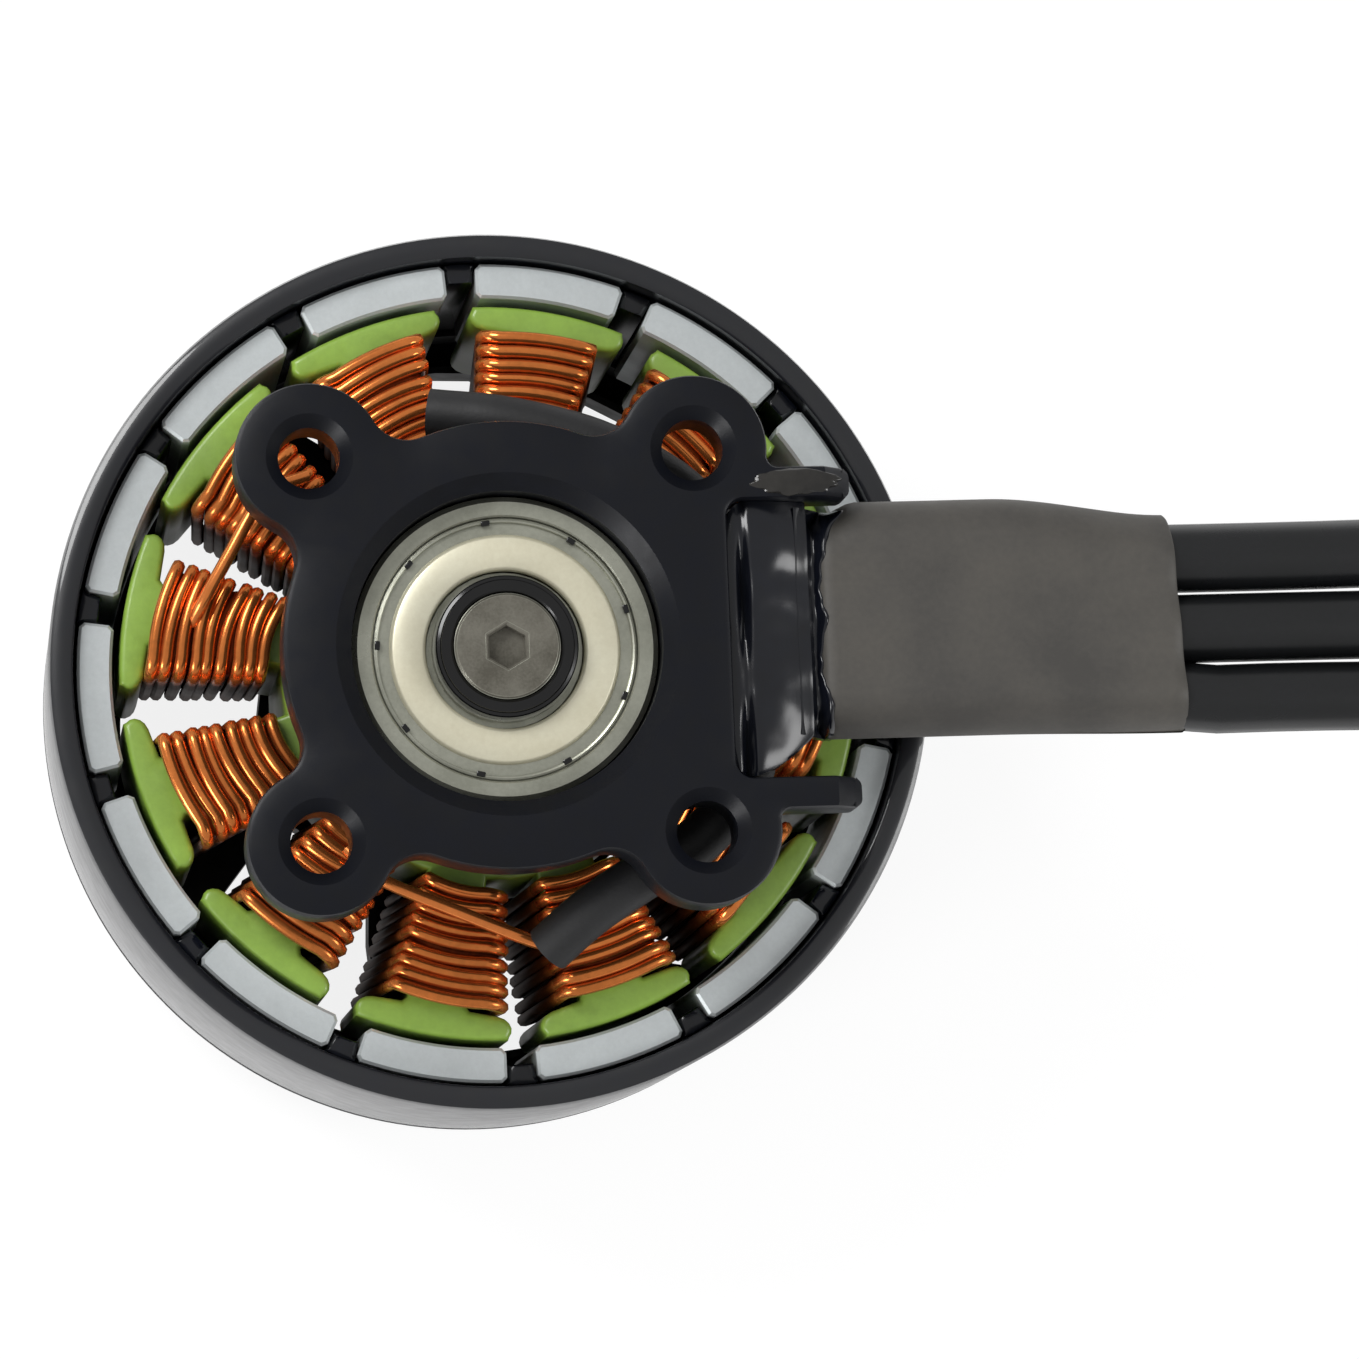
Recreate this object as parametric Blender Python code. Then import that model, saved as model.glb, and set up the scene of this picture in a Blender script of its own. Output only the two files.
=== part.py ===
"""Brushless outrunner motor for a multirotor drone, standing on its bell with the mounting face up.

Frame: +Z is the shaft's axis and points from the bell's propeller face (z = 0) to the motor's
mounting face. +X is the way the three leads leave. All sizes are in metres.
"""

import math

import bmesh
import bpy
from mathutils import Matrix, Vector

# Gaps that the separate solids keep between them
SEAT_GAP = 0.0003
PRESS_GAP = 0.0001
AIR_GAP = 0.0004

# Stator
STATOR_R = 0.0210
STACK_LENGTH = 0.0150
SLOTS = 12
TOOTH_PHASE = math.radians(18.7)
TOOTH_WIDTH = 0.0034
YOKE_THICKNESS = 0.0020
SHOE_THICKNESS = 0.0017
SHOE_WIDTH = 0.0090
SHOE_TIP_TAPER = 0.0003
SHOE_TIP_R = 0.0005

# Windings
COIL_TURNS = 8
COIL_WIDTH_INNER = 0.0057
COIL_WIDTH_OUTER = 0.0075
COIL_OVERHANG_INNER = 0.0020
COIL_OVERHANG_OUTER = 0.0026
COIL_CORNER = 0.0011
TURN_GROOVE = 0.0002

# Bell: end cap, flux ring and magnets
RING_WALL = 0.0014
RIM_ABOVE_MAGNETS = 0.0009
RIM_CHAMFER = 0.0003
RIM_INNER_CHAMFER = 0.0004
POLES = 14
MAGNET_PHASE = math.radians(2.4)
MAGNET_THICKNESS = 0.0020
MAGNET_ARC = math.radians(21.3)
MAGNET_LENGTH = 0.0156
MAGNET_CORNER = 0.0005
MAGNET_GLUE_LINE = 0.0002
MAGNET_STANDOFF = 0.0005
CAP_FLANGE = 0.0007
CAP_SHOULDER = 0.0034
CAP_RIM_INSET = 0.0006
CAP_PLATE_THICKNESS = 0.0028
CAP_SPIGOT_HEIGHT = 0.0020
CAP_SPIGOT_WALL = 0.0012
HUB_R = 0.0115
HUB_BOSS_R = 0.0080
HUB_BOSS_HEIGHT = 0.0012
HUB_NOSE_R = 0.0040
COIL_TO_SPOKES = 0.0018
TUBE_TO_HUB = 0.0014
WINDOWS = 8
WINDOW_FROM_HUB = 0.0008
WINDOW_OUTER_R = 0.0205
SPOKE_WIDTH = 0.0030
SPOKE_SWEEP = math.radians(12)
WINDOW_CORNER = 0.0010
PROP_HOLES = 4
PROP_HOLE_R = 0.00125
PROP_HOLE_INSET = 0.0020

# Motor base: cross-shaped plate, lead guide arms and bearing tube in one piece
PLATE_THICKNESS = 0.0040
TAIL_ROOM = 0.0056
PLATE_CHAMFER = 0.0003
WAIST_R = 0.0124
EAR_R = 0.0041
EAR_FILLET = 0.0021
MOUNT_PCD = 0.0300
MOUNT_HOLES = 4
MOUNT_HOLE_R = 0.0017
MOUNT_COUNTERSINK = 0.0007
NOTCH_WIDTH = 0.0155
NOTCH_WALL_X = 0.0123
NOTCH_CORNER = 0.0010
ARM_WIDTH = 0.00175
ARM_END_X = 0.0194
ARM_END_SLOPE = 0.0015
ARM_CORNER = 0.0006
TUBE_WALL = 0.0010
SEAT_SHOULDER = 0.0012
BORE_CHAMFER = 0.0009

# Shielded ball bearings, 6 x 17 x 6 mm
BEARING_R = 0.0085
BEARING_WIDTH = 0.0060
BEARING_RECESS = 0.0023
BEARING_EDGE = 0.0003
INNER_RING_R = 0.00405
INNER_LAND_R = 0.00435
OUTER_RING_LIP = 0.00115
SHIELD_SHELF = 0.00035
SHIELD_SEAT_DEPTH = 0.0009
SHIELD_BORE_R = 0.0044
SHIELD_RIM_WIDTH = 0.00105
SHIELD_THICKNESS = 0.0003
SHIELD_STEP = 0.00025
SHIELD_DEPTH = 0.00015

# Shaft and the screw and washer that hold it in the base bearing
SHAFT_R = 0.0030
SHAFT_CHAMFER = 0.0003
SCREW_HOLE_R = 0.00175
SCREW_HOLE_DEPTH = 0.0100
SCREW_R = 0.00145
SCREW_LENGTH = 0.0100
SCREW_HEAD_R = 0.00295
SCREW_HEAD_EDGE = 0.00015
SCREW_SINK = 0.00005
SOCKET_FLATS = 0.0020
SOCKET_DEPTH = 0.0011
WASHER_R = 0.00395
WASHER_THICKNESS = 0.0012
WASHER_CHAMFER = 0.0002

# Leads, their heat-shrink, the potting and the sleeves on the winding tails
LEAD_R = 0.00195
LEAD_PITCH = 0.0040
LEAD_Y = 0.0004
LEAD_DROP = 0.0004
LEAD_STEP = 0.0080
SHRINK_START_X = 0.0172
SHRINK_END_X = 0.0379
SHRINK_WALL = 0.0007
SHRINK_TAPER = 0.0008
SHRINK_BOW = 0.00095
SHRINK_GRIP = 0.00045
SHRINK_SLANT = 0.0003
TIP_R = 0.00115
TIP_LENGTH = 0.0060
GLUE_TOP_SINK = 0.0004
GLUE_CROWN = 0.0012
GLUE_OPENING = 0.0030
SLEEVE_R = 0.0014
SLEEVE_STEP = 0.0030

# Facets of the round pieces
ROUND_STEPS = 60
BORE_STEPS = 40
BEARING_STEPS = 32
HOLE_STEPS = 24
SMALL_STEPS = 20

# Places that follow from the sizes above, from the bell's face upwards
SPOKES_TOP_Z = CAP_RIM_INSET + CAP_PLATE_THICKNESS
TUBE_END_Z = SPOKES_TOP_Z + HUB_BOSS_HEIGHT + TUBE_TO_HUB
STACK_BOTTOM_Z = SPOKES_TOP_Z + COIL_TO_SPOKES + COIL_OVERHANG_OUTER
STACK_TOP_Z = STACK_BOTTOM_Z + STACK_LENGTH
MAGNET_BOTTOM_Z = (STACK_BOTTOM_Z + STACK_TOP_Z - MAGNET_LENGTH) / 2
RING_BOTTOM_Z = MAGNET_BOTTOM_Z - MAGNET_STANDOFF - CAP_SPIGOT_HEIGHT
BELL_RIM_Z = MAGNET_BOTTOM_Z + MAGNET_LENGTH + RIM_ABOVE_MAGNETS
PLATE_BOTTOM_Z = STACK_TOP_Z + COIL_OVERHANG_OUTER + TAIL_ROOM
BASE_FACE_Z = PLATE_BOTTOM_Z + PLATE_THICKNESS
BASE_BEARING_Z = BASE_FACE_Z - BEARING_RECESS - BEARING_WIDTH
BELL_BEARING_Z = TUBE_END_Z + PRESS_GAP
MAGNET_R = STATOR_R + AIR_GAP
MAGNET_BACK_R = MAGNET_R + MAGNET_THICKNESS
RING_INNER_R = MAGNET_BACK_R + MAGNET_GLUE_LINE
BELL_R = RING_INNER_R + RING_WALL
WINDOW_INNER_R = HUB_R + WINDOW_FROM_HUB
PROP_HOLE_RADIUS = HUB_R - PROP_HOLE_INSET
SHIELD_SEAT_R = BEARING_R - OUTER_RING_LIP
OUTER_LAND_R = SHIELD_SEAT_R - SHIELD_SHELF
SHIELD_STEP_R = SHIELD_SEAT_R - SHIELD_RIM_WIDTH
BEARING_SEAT_R = BEARING_R + PRESS_GAP
TUBE_R = BEARING_SEAT_R + TUBE_WALL
CORE_BORE_R = TUBE_R + SEAT_GAP
YOKE_R = CORE_BORE_R + YOKE_THICKNESS
SHAFT_TOP_Z = BASE_BEARING_Z + BEARING_WIDTH - SEAT_GAP
WASHER_BOTTOM_Z = BASE_BEARING_Z + BEARING_WIDTH + PRESS_GAP
WASHER_TOP_Z = WASHER_BOTTOM_Z + WASHER_THICKNESS
SCREW_TOP_Z = WASHER_TOP_Z - SCREW_SINK
SHRINK_HALF_WIDTH = LEAD_PITCH + LEAD_R + SHRINK_WALL
SHRINK_HALF_HEIGHT = LEAD_R + SHRINK_WALL
LEAD_Z = PLATE_BOTTOM_Z - LEAD_DROP
SLEEVE_Z = PLATE_BOTTOM_Z - SEAT_GAP - SLEEVE_R
SLEEVE_DROP = TAIL_ROOM - 2 * (SLEEVE_R + SEAT_GAP)

# Centre line of each lead from the heat-shrink: x and z, and how far it has strayed sideways
LEAD_FLOOR_Z = LEAD_R + SEAT_GAP
LEAD_ROUTE_XZ = (
    (SHRINK_END_X + SHRINK_SLANT + SEAT_GAP, LEAD_Z),
    (0.0450, LEAD_Z),
    (0.0520, 0.0302),
    (0.0590, 0.0277),
    (0.0655, 0.0224),
    (0.0715, 0.0156),
    (0.0780, 0.0090),
    (0.0850, 0.0047),
    (0.0930, 0.0027),
    (0.1020, LEAD_FLOOR_Z),
    (0.1190, LEAD_FLOOR_Z),
    (0.1360, LEAD_FLOOR_Z),
    (0.1520, LEAD_FLOOR_Z),
)
LEAD_STRAY = {
    "lead_1": (
        *(0, 0, 0.0001, 0.0003, 0.0007, 0.0013, 0.0021, 0.0031, 0.0044),
        *(0.0058, 0.0078, 0.0085, 0.0080),
    ),
    "lead_2": (
        *(0, 0, 0, 0.0001, 0.0002, 0.0004, 0.0006, 0.0008, 0.0008),
        *(0.0006, -0.0002, -0.0010, -0.0012),
    ),
    "lead_3": (
        *(0, 0, -0.0001, -0.0003, -0.0007, -0.0012, -0.0019, -0.0027, -0.0037),
        *(-0.0050, -0.0078, -0.0102, -0.0120),
    ),
}

# Centre lines of the sleeves on the winding tails, from the coil to the potting: x, y and z
SLEEVE_ROUTES = {
    "winding_sleeve_1": (
        (-0.0034, 0.0140, SLEEVE_Z - 0.55 * SLEEVE_DROP),
        (0.0010, 0.0133, SLEEVE_Z - 0.15 * SLEEVE_DROP),
        (0.0060, 0.0118, SLEEVE_Z),
        (0.0104, 0.0092, SLEEVE_Z),
        (0.0134, 0.0056, SLEEVE_Z),
    ),
    "winding_sleeve_2": (
        (0.0022, -0.0163, SLEEVE_Z - 0.80 * SLEEVE_DROP),
        (0.0045, -0.0144, SLEEVE_Z - 0.25 * SLEEVE_DROP),
        (0.0075, -0.0125, SLEEVE_Z),
        (0.0107, -0.0106, SLEEVE_Z),
        (0.0134, -0.0076, SLEEVE_Z),
        (0.0143, -0.0040, SLEEVE_Z),
    ),
    "winding_sleeve_3": (
        (0.0176, 0.0012, SLEEVE_Z - 1.35 * SLEEVE_DROP),
        (0.0166, 0.0010, SLEEVE_Z - 0.60 * SLEEVE_DROP),
        (0.0146, 0.0006, SLEEVE_Z - 0.10 * SLEEVE_DROP),
        (0.0126, 0.0004, SLEEVE_Z),
    ),
}


def clear_scene():
    for obj in list(bpy.data.objects):
        bpy.data.objects.remove(obj, do_unlink=True)


def make_material(name, colour, roughness, metallic):
    mat = bpy.data.materials.new(name)
    mat.use_nodes = True
    shader = mat.node_tree.nodes["Principled BSDF"]
    shader.inputs["Base Color"].default_value = (*colour, 1.0)
    shader.inputs["Roughness"].default_value = roughness
    shader.inputs["Metallic"].default_value = metallic
    mat.diffuse_color = (*colour, 1.0)
    return mat


def make_materials():
    table = {
        "black_anodised": ((0.020, 0.021, 0.024), 0.42, 0.6),
        "ring_black": ((0.016, 0.016, 0.018), 0.38, 0.6),
        "magnet_nickel": ((0.56, 0.59, 0.60), 0.35, 1.0),
        "epoxy_green": ((0.22, 0.36, 0.06), 0.45, 0.0),
        "copper_enamel": ((0.60, 0.19, 0.05), 0.30, 0.8),
        "shaft_steel": ((0.45, 0.45, 0.44), 0.30, 1.0),
        "screw_steel": ((0.16, 0.15, 0.14), 0.40, 1.0),
        "washer_black": ((0.010, 0.010, 0.010), 0.20, 0.4),
        "bearing_steel": ((0.42, 0.42, 0.38), 0.25, 1.0),
        "shield_steel": ((0.68, 0.66, 0.55), 0.30, 1.0),
        "sleeve_black": ((0.018, 0.018, 0.018), 0.60, 0.0),
        "potting_black": ((0.008, 0.009, 0.014), 0.12, 0.0),
        "shrink_black": ((0.060, 0.055, 0.050), 0.65, 0.0),
        "lead_silicone": ((0.012, 0.012, 0.013), 0.45, 0.0),
        "tinned_wire": ((0.62, 0.62, 0.60), 0.30, 1.0),
    }
    return {name: make_material(name, *values) for name, values in table.items()}


def mesh_object(name, bm, mat, sharp_deg=35):
    """Turns a closed bmesh into an object with outward faces, smooth but for its sharp edges."""
    bmesh.ops.remove_doubles(bm, verts=bm.verts, dist=1e-7)
    bmesh.ops.recalc_face_normals(bm, faces=bm.faces)
    if bm.calc_volume(signed=True) < 0:
        bmesh.ops.reverse_faces(bm, faces=bm.faces)
    mesh = bpy.data.meshes.new(name)
    bm.to_mesh(mesh)
    bm.free()
    mesh.materials.append(mat)
    mesh.shade_smooth()
    mesh.set_sharp_from_angle(angle=math.radians(sharp_deg))
    obj = bpy.data.objects.new(name, mesh)
    bpy.context.scene.collection.objects.link(obj)
    return obj


def turn(profile, steps, centre=(0, 0)):
    """Revolves a closed (radius, z) outline about a vertical axis through centre."""
    bm = bmesh.new()
    verts = [bm.verts.new((centre[0] + r, centre[1], z)) for r, z in profile]
    edges = [bm.edges.new((a, b)) for a, b in zip(verts, verts[1:] + verts[:1])]
    bmesh.ops.spin(
        bm,
        geom=verts + edges,
        cent=(centre[0], centre[1], 0),
        axis=(0, 0, 1),
        angle=2 * math.pi,
        steps=steps,
        use_merge=True,
    )
    bmesh.ops.remove_doubles(bm, verts=bm.verts, dist=1e-7)
    bmesh.ops.dissolve_degenerate(bm, dist=1e-7, edges=bm.edges)
    lone = [e for e in bm.edges if not e.link_faces]
    bmesh.ops.delete(bm, geom=lone, context="EDGES")
    return bm


def extrude_outline(outline, z_low, z_high, chamfer=0.0):
    """Extrudes a closed (x, y) outline upwards, with an optional chamfer round its top edge."""
    bm = bmesh.new()
    face = bm.faces.new([bm.verts.new((x, y, z_low)) for x, y in outline])
    made = bmesh.ops.extrude_face_region(bm, geom=[face])
    top = [v for v in made["geom"] if isinstance(v, bmesh.types.BMVert)]
    bmesh.ops.translate(bm, verts=top, vec=(0, 0, z_high - z_low))
    if chamfer:
        rim = [e for e in bm.edges if all(abs(v.co.z - z_high) < 1e-7 for v in e.verts)]
        bmesh.ops.bevel(bm, geom=rim, offset=chamfer, segments=1, profile=0.5, affect="EDGES", material=-1)
    return bm


def loft(sections):
    """Joins closed sections of equal point counts into one solid with flat ends."""
    bm = bmesh.new()
    rings = [[bm.verts.new(p) for p in section] for section in sections]
    for low, high in zip(rings, rings[1:]):
        count = len(low)
        for i in range(count):
            j = (i + 1) % count
            bm.faces.new((low[i], low[j], high[j], high[i]))
    bm.faces.new(rings[0][::-1])
    bm.faces.new(rings[-1])
    return bm


def arc(centre, radius, start, end, steps):
    """Points on an arc, both ends included; angles in radians."""
    return [
        (
            centre[0] + radius * math.cos(start + (end - start) * i / steps),
            centre[1] + radius * math.sin(start + (end - start) * i / steps),
        )
        for i in range(steps + 1)
    ]


def polar(radius, angle):
    return (radius * math.cos(angle), radius * math.sin(angle))


def turned_about(points, angle):
    """Turns (x, y) points about the motor's axis."""
    c, s = math.cos(angle), math.sin(angle)
    return [(c * x - s * y, s * x + c * y) for x, y in points]


def cutter(name, bm, mat):
    obj = mesh_object(name, bm, mat)
    obj.hide_render = True
    obj.display_type = "WIRE"
    return obj


def boolean(obj, other, operation):
    mod = obj.modifiers.new(other.name, "BOOLEAN")
    mod.operation = operation
    mod.object = other
    mod.solver = "EXACT"


def shorter_turn(start, end):
    """The shorter way round from one angle to another."""
    return (end - start + math.pi) % (2 * math.pi) - math.pi


def ear_angle():
    """Half of the angle, seen from the axis, between the two fillets beside an ear."""
    to_fillet = WAIST_R + EAR_FILLET
    ear = MOUNT_PCD / 2
    reach = EAR_R + EAR_FILLET
    cosine = (to_fillet**2 + ear**2 - reach**2) / (2 * to_fillet * ear)
    return math.acos(cosine)


def ear_side(middle, side):
    """The fillet and half of an ear on one side of its middle line, from the waist outwards."""
    spread = ear_angle()
    fillet = polar(WAIST_R + EAR_FILLET, middle + side * spread)
    ear = polar(MOUNT_PCD / 2, middle)
    towards_ear = math.atan2(ear[1] - fillet[1], ear[0] - fillet[0])
    towards_axis = math.atan2(-fillet[1], -fillet[0])
    points = arc(fillet, EAR_FILLET, towards_axis, towards_axis + shorter_turn(towards_axis, towards_ear), 4)
    out = towards_ear + math.pi
    points += arc(ear, EAR_R, out, out + shorter_turn(out, middle), 7)[1:]
    return points


def arm_side(middle, side):
    """From the middle of a right-hand ear to the notch's centre line, round the guide arm."""
    ear = polar(MOUNT_PCD / 2, middle)
    arm_in = NOTCH_WIDTH / 2
    arm_out = arm_in + ARM_WIDTH
    root_y = arm_out + ARM_CORNER
    reach = math.sqrt((EAR_R + ARM_CORNER) ** 2 - (abs(ear[1]) - root_y) ** 2)
    fillet = (ear[0] + reach, side * root_y)
    to_ear = math.atan2(ear[1] - fillet[1], ear[0] - fillet[0])
    swing = shorter_turn(middle, math.atan2(fillet[1] - ear[1], fillet[0] - ear[0]))
    points = arc(ear, EAR_R, middle, middle + swing, 5)
    swing = shorter_turn(to_ear, -side * math.pi / 2)
    points += arc(fillet, ARM_CORNER, to_ear, to_ear + swing, 3)[1:]
    tip = (ARM_END_X - ARM_CORNER, side * (arm_out - ARM_CORNER))
    points += arc(tip, ARM_CORNER, side * math.pi / 2, 0, 3)
    inner_tip = (ARM_END_X - ARM_CORNER, side * (arm_in + ARM_CORNER))
    points += arc(inner_tip, ARM_CORNER, 0, -side * math.pi / 2, 3)[1:]
    corner = (NOTCH_WALL_X + NOTCH_CORNER, side * (arm_in - NOTCH_CORNER))
    points += arc(corner, NOTCH_CORNER, side * math.pi / 2, side * math.pi / 2 + side * math.pi / 2, 3)
    return points


def plate_outline():
    """The base plate seen from above, counter-clockwise: four ears on a round waist, and two arms."""
    quarter = math.pi / 2
    first = math.pi / 4
    outline = []
    ears = [first + quarter * i for i in range(MOUNT_HOLES)]
    spread = ear_angle()
    for number, middle in enumerate(ears):
        if number:
            outline += ear_side(middle, -1)
        if number < MOUNT_HOLES - 1:
            outline += ear_side(middle, 1)[::-1][1:] if number else ear_side(middle, 1)[::-1]
            outline += [polar(WAIST_R, middle + spread + (quarter - 2 * spread) * i / 4) for i in (1, 2, 3)]
    lower = arm_side(ears[-1], -1)
    upper = arm_side(ears[0], 1)
    return outline + lower[1:] + upper[::-1][:-1]


def base_cutters(mat):
    """The stepped bore of the bearing tube and the countersunk mounting holes."""
    past = SEAT_GAP * 3
    through_r = BEARING_SEAT_R - SEAT_SHOULDER
    low_seat_z = BELL_BEARING_Z + BEARING_WIDTH + SEAT_GAP
    high_seat_z = BASE_BEARING_Z - SEAT_GAP
    bore = [
        (0, TUBE_END_Z - past),
        (BEARING_SEAT_R, TUBE_END_Z - past),
        (BEARING_SEAT_R, low_seat_z),
        (through_r, low_seat_z),
        (through_r, high_seat_z),
        (BEARING_SEAT_R, high_seat_z),
        (BEARING_SEAT_R, BASE_FACE_Z - BORE_CHAMFER),
        (BEARING_SEAT_R + BORE_CHAMFER + past, BASE_FACE_Z + past),
        (0, BASE_FACE_Z + past),
    ]
    cutters = [cutter("cut_base_bore", turn(bore, BORE_STEPS), mat)]
    hole = [
        (0, PLATE_BOTTOM_Z - past),
        (MOUNT_HOLE_R, PLATE_BOTTOM_Z - past),
        (MOUNT_HOLE_R, BASE_FACE_Z - MOUNT_COUNTERSINK),
        (MOUNT_HOLE_R + MOUNT_COUNTERSINK + past, BASE_FACE_Z + past),
        (0, BASE_FACE_Z + past),
    ]
    for i in range(MOUNT_HOLES):
        place = polar(MOUNT_PCD / 2, math.pi / 4 + i * math.pi / 2)
        cutters.append(cutter(f"cut_mount_hole_{i + 1}", turn(hole, HOLE_STEPS, place), mat))
    slope = [
        (ARM_END_X - ARM_END_SLOPE, BASE_FACE_Z + past),
        (ARM_END_X + past, BASE_FACE_Z + past),
        (ARM_END_X + past, BASE_FACE_Z - ARM_END_SLOPE - past),
        (ARM_END_X - ARM_END_SLOPE - past, BASE_FACE_Z + past + SEAT_GAP),
    ]
    wide = NOTCH_WIDTH
    ramp = loft([[(x, y, z) for x, z in (slope[2], slope[1], slope[3])] for y in (-wide, wide)])
    cutters.append(cutter("cut_arm_slope", ramp, mat))
    return cutters


def motor_base(mats):
    """Cross-shaped plate with its lead guide arms, and the tube that carries bearings and stator."""
    mat = mats["black_anodised"]
    plate = extrude_outline(plate_outline(), PLATE_BOTTOM_Z, BASE_FACE_Z, PLATE_CHAMFER)
    base = mesh_object("motor_base", plate, mat)
    overlap = PLATE_THICKNESS / 4
    tube_top = PLATE_BOTTOM_Z + overlap
    wall = [(0, TUBE_END_Z), (TUBE_R, TUBE_END_Z), (TUBE_R, tube_top), (0, tube_top)]
    tube = cutter("add_bearing_tube", turn(wall, BORE_STEPS), mat)
    boolean(base, tube, "UNION")
    for tool in base_cutters(mat):
        boolean(base, tool, "DIFFERENCE")
    return base


def tooth_outline():
    """One tooth and its shoe with the tooth's middle line on +X, from -Y to +Y, yoke corners left out."""
    half = TOOTH_WIDTH / 2
    shoe_in = STATOR_R - SHOE_THICKNESS
    reach = SHOE_WIDTH / 2
    root = math.sqrt(YOKE_R**2 - half**2)
    tip_x = math.sqrt(STATOR_R**2 - reach**2) - SHOE_TIP_R
    tip_angle = math.asin((reach - SHOE_TIP_R / 2) / STATOR_R)
    side = [
        (root, half),
        (shoe_in, half),
        (shoe_in + SHOE_TIP_TAPER, reach - SHOE_TIP_R),
        (tip_x - SHOE_TIP_R / 4, reach),
        (tip_x + SHOE_TIP_R / 2, reach),
    ]
    face = arc((0, 0), STATOR_R, -tip_angle, tip_angle, 6)
    return [(x, -y) for x, y in side] + face + side[::-1]


def stator_core(mats):
    """Laminated stack of twelve teeth on a yoke ring, pushed over the bearing tube."""
    pitch = 2 * math.pi / SLOTS
    outline = []
    for i in range(SLOTS):
        angle = TOOTH_PHASE + i * pitch
        outline.append(polar(YOKE_R, angle - pitch / 2))
        outline += turned_about(tooth_outline(), angle)
    stack = extrude_outline(outline, STACK_BOTTOM_Z, STACK_TOP_Z)
    core = mesh_object("stator_core", stack, mats["epoxy_green"])
    past = SEAT_GAP * 3
    low, high = STACK_BOTTOM_Z - past, STACK_TOP_Z + past
    bore = turn([(0, low), (CORE_BORE_R, low), (CORE_BORE_R, high), (0, high)], BORE_STEPS)
    boolean(core, cutter("cut_core_bore", bore, mats["epoxy_green"]), "DIFFERENCE")
    return core


def coil_sections():
    """Sections of a coil across its tooth, one at each crest and each groove of its turns."""
    start = YOKE_R + SEAT_GAP
    end = STATOR_R - SHOE_THICKNESS - SEAT_GAP
    middle_z = (STACK_BOTTOM_Z + STACK_TOP_Z) / 2
    sections = []
    stations = 2 * COIL_TURNS
    for i in range(stations + 1):
        share = i / stations
        x = start + (end - start) * share
        sink = TURN_GROOVE if i % 2 == 0 else 0
        wide = (COIL_WIDTH_INNER + (COIL_WIDTH_OUTER - COIL_WIDTH_INNER) * share) / 2 - sink
        over = COIL_OVERHANG_INNER + (COIL_OVERHANG_OUTER - COIL_OVERHANG_INNER) * share
        tall = STACK_LENGTH / 2 + over - sink
        cut = COIL_CORNER
        ring = [
            (wide, -tall + cut),
            (wide, tall - cut),
            (wide - cut, tall),
            (-wide + cut, tall),
            (-wide, tall - cut),
            (-wide, -tall + cut),
            (-wide + cut, -tall),
            (wide - cut, -tall),
        ]
        sections.append([(x, y, middle_z + z) for y, z in ring])
    return sections


def coil_mesh():
    """A coil as one solid with a square window for its tooth; the tooth's middle line is +X."""
    half_y = TOOTH_WIDTH / 2 + SEAT_GAP
    half_z = STACK_LENGTH / 2 + SEAT_GAP
    middle_z = (STACK_BOTTOM_Z + STACK_TOP_Z) / 2
    corners = ((1, -1), (1, 1), (-1, 1), (-1, -1))
    bm = bmesh.new()
    rings = [[bm.verts.new(p) for p in section] for section in coil_sections()]
    for low, high in zip(rings, rings[1:]):
        for i in range(8):
            j = (i + 1) % 8
            bm.faces.new((low[i], low[j], high[j], high[i]))
    holes = []
    for ring in (rings[0], rings[-1]):
        x = ring[0].co.x
        hole = [bm.verts.new((x, side * half_y, middle_z + up * half_z)) for side, up in corners]
        for i in range(4):
            here, there = hole[i], hole[(i + 1) % 4]
            bm.faces.new((ring[2 * i], ring[2 * i + 1], there, here))
            bm.faces.new((ring[2 * i + 1], ring[(2 * i + 2) % 8], there))
        holes.append(hole)
    for i in range(4):
        j = (i + 1) % 4
        bm.faces.new((holes[0][i], holes[0][j], holes[1][j], holes[1][i]))
    return bm


def coils(mats):
    """Twelve coils, one round each tooth, all of one mesh."""
    first = mesh_object("coil_01", coil_mesh(), mats["copper_enamel"])
    made = [first]
    for i in range(1, SLOTS):
        obj = bpy.data.objects.new(f"coil_{i + 1:02d}", first.data)
        bpy.context.scene.collection.objects.link(obj)
        made.append(obj)
    for i, obj in enumerate(made):
        obj.rotation_euler = (0, 0, TOOTH_PHASE + i * 2 * math.pi / SLOTS)
    return made


def flux_ring(mats):
    """Steel ring that carries the magnets and closes their field."""
    profile = [
        (RING_INNER_R, RING_BOTTOM_Z),
        (BELL_R, RING_BOTTOM_Z),
        (BELL_R, BELL_RIM_Z - RIM_CHAMFER),
        (BELL_R - RIM_CHAMFER, BELL_RIM_Z),
        (RING_INNER_R + RIM_INNER_CHAMFER, BELL_RIM_Z),
        (RING_INNER_R, BELL_RIM_Z - RIM_INNER_CHAMFER),
    ]
    return mesh_object("flux_ring", turn(profile, ROUND_STEPS), mats["ring_black"])


def magnet_mesh():
    """One arc magnet centred on +X, its upright edges rounded."""
    half = MAGNET_ARC / 2
    outer = arc((0, 0), MAGNET_BACK_R, -half, half, 3)
    inner = arc((0, 0), MAGNET_R, half, -half, 3)
    bm = extrude_outline(outer + inner, MAGNET_BOTTOM_Z, MAGNET_BOTTOM_Z + MAGNET_LENGTH)
    corners = [outer[0], outer[-1], inner[0], inner[-1]]
    upright = [
        e
        for e in bm.edges
        if abs(e.verts[0].co.z - e.verts[1].co.z) > MAGNET_LENGTH / 2
        and any((e.verts[0].co.xy - Vector(c)).length < 1e-6 for c in corners)
    ]
    rounding = dict(offset=MAGNET_CORNER, segments=2, profile=0.5, affect="EDGES", material=-1)
    bmesh.ops.bevel(bm, geom=upright, **rounding)
    return bm


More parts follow.
